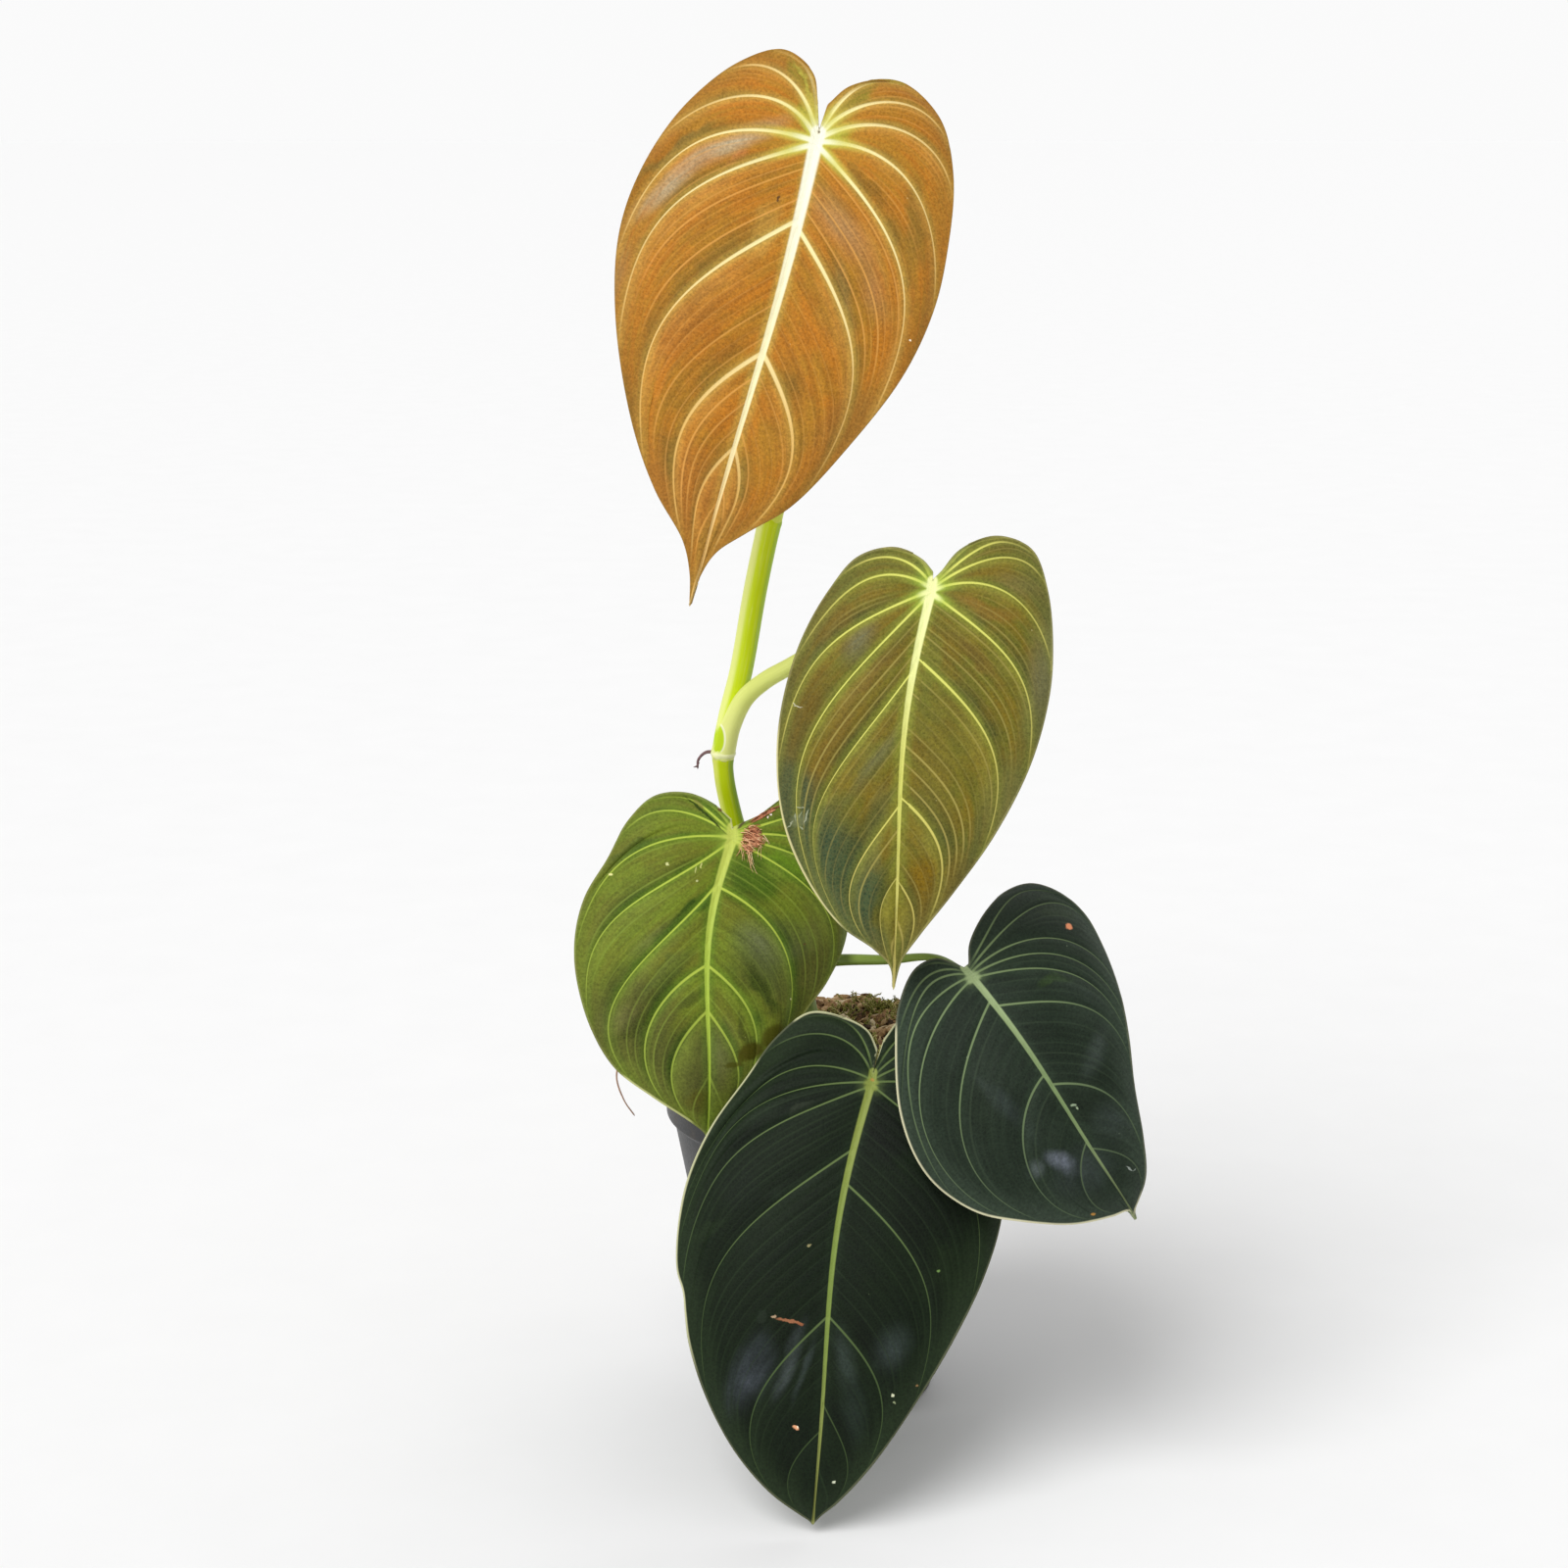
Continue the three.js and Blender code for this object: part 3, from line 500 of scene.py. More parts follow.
def blade_half(leaf, half, side, starts, length, midline):
    """Every value of one half of a blade on its grid of vein lines."""
    sign = -1 if side == 0 else 1
    reach = blade_reach()
    outline, table = half["outline"], half["table"]
    points, share, end, row = vein_lines(outline, table, starts, sign * midline(starts), reach)
    rows = [int(np.abs(starts - start).argmin()) for start in table[:, 0]]
    lobe_edge(points, end, outline, rows[1], reach)
    untangle(points)
    lines = np.array([[finer(points[k, :, i], 4) for i in (0, 1)] for k in rows]).transpose(0, 2, 1)
    gaps = [nearest(lines[k], lines[k - 1]).max() for k in range(1, len(table))]
    counts = np.array([0] + [max(1, round(gap / BLADE["minor_gap"])) for gap in gaps])
    phase = np.cumsum(counts)[row - 1] + share * counts[row]

    ahead = unit(np.gradient(points, axis=1), 1e-9)
    aside = np.gradient(points, axis=0)
    turn = np.abs(aside[..., 0] * ahead[..., 1] - aside[..., 1] * ahead[..., 0])
    gap = turn / np.maximum(np.gradient(phase), 1e-6)[:, None]

    across, down = sign * points[..., 0], points[..., 1]
    off = across - midline(down)
    t = down / length
    a = np.abs(off) / (length / 3)
    height = leaf["arch"] * 4 * t * np.where(t > 0, 1 - t, 1)
    height += leaf["fold"][side] * (np.sqrt(a * a + 0.01) - 0.1) - leaf["curl"][side] * a * a
    height -= np.where(t < 0, leaf["lobe"] * (3 * t) ** 2, 0)
    height -= np.where(t > 0.8, leaf["drip"] * ((t - 0.8) / 0.2) ** 2, 0)
    r = np.broadcast_to(reach, down.shape)
    room = smooth(gap * counts[row][:, None], 0, 9)
    height += QUILT * room * (np.sin(np.pi * share) ** 0.8)[:, None] * np.sin(np.pi * r**0.8)
    ripple = np.sin(7 * np.pi * end + side) * np.minimum(1, 5 * (1 - end))
    height += leaf["wave"] * ripple[:, None] * r * r
    height += FINE_RIDGE * (1 - np.cos(2 * np.pi * phase))[:, None] * smooth(gap, 0.6, 2)
    height += SWELL * np.sin(across / 7 + leaf["yaw"]) * np.sin(down / 9 + side) * smooth(np.abs(off), 2, 12)

    steps = np.linalg.norm(np.diff(points, axis=1), axis=-1)
    along = np.concatenate([np.zeros((len(starts), 1)), np.cumsum(steps, axis=1)], axis=1)
    margin = np.concatenate([outline.points, lines[0]])
    main = lines[1:-1].reshape(-1, 2)
    rows_only = dict(phase=phase, share=share, source=starts / length)
    return dict(
        point=np.stack([across, -down, height], axis=-1), place=np.stack([across, down, 0 * down], axis=-1),
        vein=nearest(points, main), edge=nearest(points, margin),
        mid=np.hypot(off, np.minimum(0, down + NOTCH)), reach=r, along=along, gap=gap,
        **{key: np.broadcast_to(value[:, None], down.shape) for key, value in rows_only.items()},
    )


def thicken(values, faces, half, front, back):
    """Front and back faces, and a rounded rim, round the open surface of a blade."""
    points = values["point"]
    corners = points[faces]
    normal = unit(np.cross(corners[:, 2] - corners[:, 0], corners[:, 3] - corners[:, 1]))
    normals = np.zeros_like(points)
    for k in range(4):
        np.add.at(normals, faces[:, k], normal)
    normals = unit(normals)
    count = len(points)
    upper = points + normals * (half + front)[:, None]
    shaded_side = points - normals * (half + back)[:, None]
    rings = [[v for i, v in enumerate(face) if v != face[i - 1]] for face in faces.tolist()]
    edges = dict.fromkeys((ring[i - 1], v) for ring in rings for i, v in enumerate(ring))
    rim = [edge for edge in edges if edge[::-1] not in edges]
    rim_points = sorted({v for edge in rim for v in edge})
    number = {v: 2 * count + i for i, v in enumerate(rim_points)}
    outward = np.zeros_like(points)
    for v, w in rim:
        outward[[v, w]] += unit(np.cross(points[w] - points[v], normals[v]))
    middle = points[rim_points] + unit(outward[rim_points]) * RIM_BULGE
    solid = rings + [[v + count for v in reversed(ring)] for ring in rings]
    solid += [[w, v, number[v], number[w]] for v, w in rim]
    solid += [[number[w], number[v], v + count, w + count] for v, w in rim]
    looks = [0] * len(rings) + [1] * len(rings) + [0] * len(rim) + [1] * len(rim)
    spread = {key: np.concatenate([value, value, value[rim_points]]) for key, value in values.items()}
    spread["point"] = np.concatenate([upper, shaded_side, middle])
    return spread, solid, looks


def blade_mesh(leaf):
    length, matrix = blade_frame(leaf)

    def midline(down):
        t = np.clip(down / length, 0, 1)
        return leaf["bow"][0] * np.sin(np.pi * t) + leaf["bow"][1] * np.sin(2 * np.pi * t)

    halves = []
    for key in ("left", "right"):
        outline = [pair.split() for pair in leaf[key]["outline"].split(",")]
        halves.append(dict(outline=Path(outline), table=vein_table(leaf[key], length)))
    starts = blade_starts(halves, length)
    sides = [blade_half(leaf, half, side, starts, length, midline) for side, half in enumerate(halves)]
    rows, columns = sides[0]["reach"].shape
    index = np.arange(2 * rows * columns).reshape(2, rows, columns)
    index[1, :, 0] = index[0, :, 0]
    index[:, -1, :] = index[0, -1, 0]
    a, b, c, d = index[:, :-1, :-1], index[:, :-1, 1:], index[:, 1:, :-1], index[:, 1:, 1:]
    left = np.stack([a[0], b[0], d[0], c[0]], axis=-1).reshape(-1, 4)
    right = np.stack([a[1], c[1], d[1], b[1]], axis=-1).reshape(-1, 4)
    used, faces = np.unique(np.concatenate([left, right]), return_inverse=True)
    faces = faces.reshape(-1, 4)
    values = {key: np.stack([side[key] for side in sides]).reshape(2 * rows * columns, -1)[used].squeeze()
              for key in sides[0]}
    down = np.clip(values["place"][:, 1] / length, 0, 1)
    fine_width = 1.25 - 0.85 * down
    fading = 1 - 0.7 * values["reach"]
    half = BLADE["margin_half"] + (BLADE["half"] - BLADE["margin_half"]) * smooth(values["edge"], 0, 4)
    middle = bump(values["mid"], fine_width)
    front = -VEIN["groove"] * fading * bump(values["vein"], 0.5) - RIB["groove"] * (1 - 0.6 * down) * middle
    rib = RIB["top"] + (RIB["tip"] - RIB["top"]) * down
    back = rib * middle + VEIN["rise"] * fading * bump(values["vein"], 0.45)
    values, solid, looks = thicken(values, faces, half, front, back)
    turn = np.array(matrix)
    points = values.pop("point") @ turn[:3, :3].T + turn[:3, 3]
    return points, solid, looks, values


# Velvet of the five blades, from the young coppery top one to the old dark low one. Colours are as they
# show, as hexadecimal digits. A row of patches, painted sheens or marks is across, down, width, height, turn,
# colour and strength, in millimetres on its blade. Patches are mostly the blade's own tones, and some long
# dark ones are painted shade along folds and under main veins. Painted sheens are painted highlights.
BLADE_TONES = ("ground", "cloud", "shade", "light", "haze", "halo", "hub", "vein", "vein_end", "minor",
               "margin", "fleck", "under", "under_vein")
BLADE_LOOKS = [
    dict(
        rib=(1.9, -2.6, 1.1), ground="c87e23", cloud="bc8529", shade="806928", light="db9e48",
        haze="966c2c", haze_share=0.5, halo="d6b454", halo_share=0.85, hub="ced054", vein="fcf0b2",
        vein_end="eabe6c", vein_width=(0.62, 0.26), minor="e2a452", minor_share=0.75,
        midrib=("fefde4", "faf0be", "e2b668"), margin="967634", margin_share=0.4, rims=[], hub_share=0.95,
        hub_reach=17, fleck="f0d6a0", luck=3, under="b07a54", under_vein="d6be78", sheen=0.12,
        patches="""-18.7 9.5 4.5 1.5 -40 d6864a 0.6, 15 7 11 3 28 8e661e 0.8, -8 -16 12 3 59 929630 0.7,
            -6.6 -14 12 0.8 64 ced054 0.9, 6 -14 14 4 -55 8c922e 0.8, 3.4 -3.6 7 3.2 -25 a6b82c 0.95,
            -3.4 -5 6 2.6 50 96a82c 0.9, 13 -22.6 9 0.8 -24 c4c854 0.7, -2.2 -9 7 2 72 688022 0.9,
            -34 12 16 2.6 -50 7c7032 0.8, 30 12 4 16 -16 8c702c 0.7, -30 80 6 14 -30 967432 0.6,
            18 -24.3 6 1.6 -18 bec64a 0.8, -7 27 4 12 8 cea248 0.7, -8 96 20 16 0 b6702a 0.7,
            -20 55 16 10 -50 b67022 0.7, 27 68 9 16 30 a47030 0.6, -2 -18 2 5 60 96803c 0.6""",
        sheens="""-20 6 20 4.4 -42 c8bc9c 1, -33 21 20 4.2 -60 c2b08c 1, -40 48 14 3 -88 ba9864 0.7,
            12 20 19 7 38 c09866 0.8, 17 38 15 3 66 a09060 0.85, 24 34 14 5 60 be8c5c 0.6""",
        marks="""-5.7 17.4 0.4 1.1 12 543a24 0.85, 36.3 43.1 0.4 0.4 0 fff0d6 1""",
    ),
    dict(
        rib=(1.3, -1.9, 0.9), ground="716f21", cloud="7d6919", shade="464f21", light="96923b",
        haze="5c6238", haze_share=0.55, halo="929a38", halo_share=0.75, hub="a4c440", vein="dcde70",
        vein_end="c8bc64", vein_width=(0.4, 0.22), minor="ac9e54", minor_share=0.8,
        midrib=("f0f4ac", "cece68", "c2b66c"), margin="d6ce96", margin_share=0.2,
        rims=[((-27, 66), (13, 34), -14)], hub_share=0.65, hub_reach=9, thin_left=0.42, fleck="dcce96",
        luck=8, under="807a48", under_vein="b2b668", sheen=0.1,
        patches="""-22 12 13 9 0 7a621c 0.85, -29 36 6 20 14 6e5614 0.85, -14 26 15 3 -54 7c6220 0.85,
            -26 52 9 5 -60 886618 0.6, -20.5 40 12 3.6 -60 7a621c 0.8, -25 69 17 29 -22 3c4f34 1,
            -12 79 11 22 -18 425536 1, -30 56 8 16 -10 404f34 0.85, 6 49 7 22 0 7e7224 0.7,
            7.5 76 8.5 15 8 7e6204 1, -3 79 4 10 6 74660c 0.9, 14 3 12 3 18 8a6a26 0.8,
            13 16 12 3 46 786024 0.75, -2.5 -7 3.2 9 -12 42682a 0.85, 4 -9 3.2 10 26 40682c 0.85,
            24 52 9 14 20 7c763a 0.6, 2 20 3 14 4 747a28 0.7, -8 62 4 16 6 78783e 0.6""",
        sheens="""-16.5 14 4.5 10 30 70765a 0.8, 31 20 8 24 0 868664 0.8, -9 44 3 18 28 747852 0.7,
            22 -4 12 5 0 848052 0.6""",
        marks="""-27.6 61.2 3 2 -10 7c8268 0.3, -25.6 60 0.22 2.2 8 b0b498 0.7,
            -29.8 62.4 0.2 1.7 30 b0b498 0.6, -27.4 57.8 1.6 0.18 8 b0b498 0.6,
            -28.6 60.4 0.18 1.4 -20 a6ac90 0.6, -26.8 63 0.9 0.16 30 a6ac90 0.6,
            -27.2 59.6 0.16 1.2 24 a6ac90 0.6, -30.6 32.4 1.5 0.18 6 e2dec8 0.8,
            -31.7 31.8 0.6 0.16 40 e2dec8 0.8""",
    ),
    dict(
        rib=(1.5, -2, 0.85), ground="798a26", cloud="747825", shade="324a0e", light="889838",
        haze="646a2e", haze_share=0.45, halo="688c24", halo_share=0.7, hub="9cb642", vein="bacc50",
        vein_end="98aa42", vein_width=(0.4, 0.2), minor="84963a", minor_share=0.6,
        midrib=("c4d060", "a8c048", "96ac3a"), margin="bec080", margin_share=0.2,
        rims=[((-2, -9), (2.6, 8), -10), ((14, 60), (12, 10), -30), ((-14, 71), (13, 8), 20)],
        hub_share=0.6, hub_reach=8, fleck="cec882", luck=5, under="708042", under_vein="aaba60",
        sheen=0.06,
        # Several long narrow dark patches here are painted shade along folds and under the main veins.
        patches="""-24 50 17 18 20 585924 0.95, -6 62 20 15 0 545526 0.95, 14 32 17 14 40 565e30 0.9,
            24 36 10 17 30 5c5a22 0.85, -20.5 50 13 2.8 -42 3e440c 0.95, -10.5 22 17 2.6 -52 2c480c 0.95,
            10 40 12 3 52 384410 0.9, -26 6 10 2.2 -36 465c18 0.8, 8 52 9 2 60 424816 0.7,
            -8 44 9 2 -50 4a541a 0.7, 6 10 10 10 0 466814 0.85, 16 6 9 6 20 6a921e 0.8,
            -6 -9 4 9 -40 4c761a 0.85, 20 45 4 9 30 485008 0.8, -4 71 6 4 0 5c5612 0.85,
            -15 38 12 3 -46 606e2c 0.7""",
        sheens="""10 28 12 8 20 747a58 0.8, -27 52 9 6 -30 747042 0.7, -20 30 12 4 -50 7c824e 0.6,
            1 56 6 10 0 6c6e48 0.7, 22 24 8 9 30 6c7042 0.6""",
        # One mark here, the thin dark line from near the junction into the left lobe, is a painted shadow in
        # a crease.
        marks="""8.8 56.6 4.6 2.8 -26 423e02 0.9, 14.4 52 4.8 3.2 -46 424004 0.85,
            4.6 60.6 3.2 0.9 -12 48480a 0.8, 6.4 58.8 0.9 1.6 0 464606 0.8,
            8.7 -8.4 5.6 0.7 -34 784830 0.95, 5.2 -1 2.9 2.9 20 965c40 0.95,
            10.4 -8.3 0.45 0.4 0 faece8 1, 9.7 -7.5 0.35 0.3 0 f6e2da 1, 2.6 -4.8 2.4 0.45 -52 543e30 0.8,
            2.6 1.8 1.2 1.4 0 cec468 0.6, -7.6 -6.6 9.2 0.45 41 2c3e10 0.9,
            -9.4 -9.4 2.4 0.7 41 807c3c 0.7, -3.6 -8.2 0.9 0.5 20 604224 0.9,
            -8.2 8.1 0.3 1.1 10 c4c478 0.9, -9.6 9.6 0.3 1.2 10 babe74 0.8,
            -9.2 12.6 0.5 0.5 10 c4c88c 0.8, -31.5 12.3 0.6 0.55 0 e4e296 1,
            -17.2 8.8 0.6 0.5 0 d6d896 0.9, 18.6 41.6 0.45 0.4 0 d6ce96 0.9,
            21.6 26.4 0.5 0.3 0 603e26 0.8""",
    ),
    dict(
        rib=(0.98, -1, 0.32), ground="253125", cloud="202c20", shade="1a251b", light="2e3a2e",
        haze="3e4b3e", haze_share=0.75, halo="30402e", halo_share=0.5, hub="768a5c", vein="74865c",
        vein_end="546448", vein_width=(0.32, 0.16), minor="3e4c38", minor_share=0.35,
        midrib=("96a878", "768a5c", "7c8862"), margin="d4d0ac", margin_share=0.12,
        rims=[((-32, 22), (11, 40), 6), ((-16, 62), (24, 10), 24)], hub_share=0.3, hub_reach=5,
        fleck="829076", luck=1, under="566848", under_vein="8a9864", sheen=0.1,
        patches="""6 22 11 12 30 1a261a 0.9, 5 40 14 9 20 192418 0.9, -19 25 6 13 12 1d291b 0.85,
            17 12 8 1.8 20 324620 0.8, 33 -2 7 5 40 32421e 0.6""",
        sheens="""-9.4 52.2 3.4 7.5 -24 7e8492 1, -16 48.6 3.4 3.4 0 626a6c 0.9, -6 56 12 8 0 3e4646 0.8,
            14 33 13 4 -30 46504a 0.8, 8 50 9 8 20 424c48 0.7, -13 33 3 13 -6 3e4846 0.8,
            -15.5 25 2 11 0 38423c 0.7, 22 20 9 14 -20 3c483e 0.6""",
        marks="""31 3.5 1.25 1.1 20 de8e64 1, 0.8 40.5 0.9 0.35 30 8c9c80 0.9,
            1.3 41.6 0.3 0.6 0 96a688 0.9, 4.4 62 1.1 0.2 60 969e96 0.8, 5.4 63 0.8 0.2 10 8c968c 0.7,
            -9.4 66.4 0.8 0.4 20 b0803c 0.9, -13.6 15.4 0.5 0.35 0 788868 0.8""",
    ),
    dict(
        rib=(1.15, -1.2, 0.42), ground="101d0b", cloud="0e1a0c", shade="081106", light="1a2714",
        haze="2a3822", haze_share=0.7, halo="22321e", halo_share=0.5, hub="687a42", vein="627444",
        vein_end="425430", vein_width=(0.32, 0.16), minor="2e3e26", minor_share=0.35,
        midrib=("8a9648", "788c42", "868a4c"), margin="c6c69c", margin_share=0.15,
        rims=[((-38, 24), (12, 60), -4), ((-12, -18), (26, 9), 20)], hub_share=0.4, hub_reach=5,
        fleck="6e7a56", luck=6, under="4e603e", under_vein="84945c", sheen=0.05,
        patches="""-17 8.5 5 2 -16 3a4232 0.6, 22 28 12 15 30 0d160b 0.9, 6 12 7 11 0 0d140c 0.9,
            -37 43 7 1.3 -42 24341a 0.4, 26 46 8 14 20 1a2812 0.7, -30 30 8 10 0 121c11 0.7""",
        sheens="""-21 78 7 15 18 4c525a 1, -11 72 2.8 14 14 545c5e 1, -7 74 1.4 12 12 3c4644 0.8,
            14 66 7 9 20 3e4846 0.85, 3 70 4 12 -14 3e4a44 0.8, 7 84 5 11 -10 2e3a34 0.7,
            -17 29 10 3 -34 323e30 0.7, -27 10 10 4 -40 2e3c2a 0.6""",
        marks="""0 -1.4 0.8 0.55 0 b08842 0.8, -12.4 62.6 4.2 0.5 3 9e6848 0.85,
            -9.6 63 1.2 0.6 10 965c3c 0.8, -16.6 62.1 0.9 0.4 -10 ba9e7e 0.8,
            -19.5 62.6 1.6 2.2 0 283226 0.35, -7.3 89 1 0.65 10 dea076 1, -6.9 88.8 0.35 0.35 0 f8e8cc 1,
            4.1 101.4 0.55 0.5 0 ced4b8 1, -10 43 0.8 0.4 -20 968e64 0.8, 23.6 45 0.7 0.45 0 6e8e4c 0.9,
            16.2 77.5 0.45 0.45 0 ced2b0 1, 16.8 79.2 0.3 0.4 0 8c9670 0.9, 21.9 74.4 0.4 0.3 0 96764c 0.9""",
    ),
]


def spots(text):
    """Centre, size, turn, colour and strength of each spot of a text table."""
    for row in text.split(","):
        *numbers, tone, strength = row.split()
        x, y, wide, tall, turn = (float(number) for number in numbers)
        yield (x, y), (wide, tall), turn, colour(tone), float(strength)


def add_spots(m, base, text, where, edge, strength_of=float):
    """Lays the spots of a text table over the base colour."""
    for centre, size, turn, tone, strength in spots(text):
        share = m.times(m.spot(where, centre, size, turn, edge), strength_of(strength))
        base = m.mix(share, base, tone)
    return base


def blade_numbers(m, length):
    """The values at the points of a blade as sockets."""
    keys = ("vein", "edge", "mid", "reach", "along", "phase", "gap", "share", "source")
    numbers = {key: m.number(key) for key in keys}
    numbers["place"] = m.vector("place")
    numbers["across"] = m.axis("X", numbers["place"])
    numbers["down"] = m.math("DIVIDE", m.axis("Y", numbers["place"]), length)
    return numbers


def vein_lines_look(look, m, n):
    """Shares of the main veins, the fine veins between them, and the midrib."""
    wide, narrow = look["vein_width"]
    late = m.fade(n["source"], 0.5, 0.78)
    width = m.times(m.fade(n["along"], 0, 45, wide, narrow), m.math("MULTIPLY_ADD", late, -0.4, 1.0))
    left = m.math("LESS_THAN", n["across"], 0.0)
    thin = m.times(left, m.fade(n["source"], 0.02, 0.2, 0, look.get("thin_left", 0.0)))
    width = m.times(width, m.math("SUBTRACT", 1.0, thin))
    main = m.fade(m.math("DIVIDE", n["vein"], width), 0.5, 1.3, 1, 0)
    main = m.times(main, m.fade(n["edge"], 0.4, 2.4, 0.2, 1))
    line = m.math("ROUND", n["phase"])
    away = m.math("ABSOLUTE", m.math("SUBTRACT", n["phase"], line))
    right = m.math("GREATER_THAN", n["across"], 0.0)
    turn = m.plus(m.math("MULTIPLY_ADD", right, 57.0, line), look["luck"] * 7)
    luck = m.out("Value", "TexWhiteNoise", {"W": turn}, noise_dimensions="1D")
    luck = m.math("MULTIPLY_ADD", m.times(luck, luck), 0.85, 0.15)
    fine = m.fade(m.times(away, n["gap"]), 0.1, m.math("MULTIPLY_ADD", luck, 0.16, 0.24), 1, 0)
    fine = m.times(m.times(fine, luck), m.fade(n["gap"], 0.7, 1.9))
    wide, slope, curve = look["rib"]
    taper = m.math("MULTIPLY_ADD", m.math("MULTIPLY_ADD", n["down"], curve, slope), n["down"], wide)
    midrib = m.fade(m.math("DIVIDE", n["mid"], m.math("MAXIMUM", taper, 0.25)), 0.7, 1.15, 1, 0)
    return main, fine, midrib


def wander(m, place, scale, reach):
    """The place, shifted about by noise so that what is laid there gets an uneven outline."""
    shift = m.vectors("SUBTRACT", m.noise(place, scale, output="Color", rough=0.5), (0.5, 0.5, 0.5))
    return m.vectors("ADD", place, m.stretch(shift, (reach, reach, 0.0)))


def along_veins(m, n, across, along):
    """A place for noise that runs in streaks along the veins."""
    return m.pair(m.times(n["phase"], across), m.times(n["along"], along))


def blade_ground(m, n, look, tones):
    """Tones of the velvet between the veins, with painted shade above each main vein, painted light below it,
    painted sheens and a painted sheen at the margins.
    """
    place = n["place"]
    streak = m.noise(along_veins(m, n, 0.62, 0.045), 1.0, 3, 0.6)
    drift = m.math("MULTIPLY_ADD", m.noise(place, 0.075, 3), 0.5, m.times(streak, 0.5))
    base = m.mix(m.fade(drift, 0.4, 0.6), tones["ground"], tones["cloud"])
    base = add_spots(m, base, look["patches"], wander(m, place, 0.11, 9.0), 0.35)

    def streaked(strength):
        return m.fade(streak, 0.3, 0.7, 0.6 * strength, strength)

    # Painted highlights and sheen, laid in soft streaky patches over the velvet.
    base = add_spots(m, base, look["sheens"], wander(m, place, 0.06, 5.0), 0.0, streaked)
    uneven = m.times(m.fade(m.noise(place, 0.09, 2), 0.35, 0.65, 0.25, 1.0), m.fade(n["reach"], 0.02, 0.25))
    uneven = m.times(uneven, m.fade(n["edge"], 1, 6, 0.1, 1))
    # Painted shade on the upper side of each main vein and painted light on its lower side, as light from the
    # upper left falls on the quilted blade.
    above = m.times(m.fade(n["share"], 0.6, 0.93), uneven)
    below = m.times(m.fade(n["share"], 0.42, 0.06), uneven)
    base = m.mix(m.times(above, 0.85), base, tones["shade"])
    base = m.mix(m.times(below, 0.6), base, tones["light"])
    # Painted sheen: the blade is lighter and greyer towards its margins, as velvet looks in grazing light.
    haze = m.times(m.fade(m.plus(n["edge"], m.times(streak, 4)), 2, 11, 1, 0), look["haze_share"])
    return m.mix(haze, base, tones["haze"]), streak


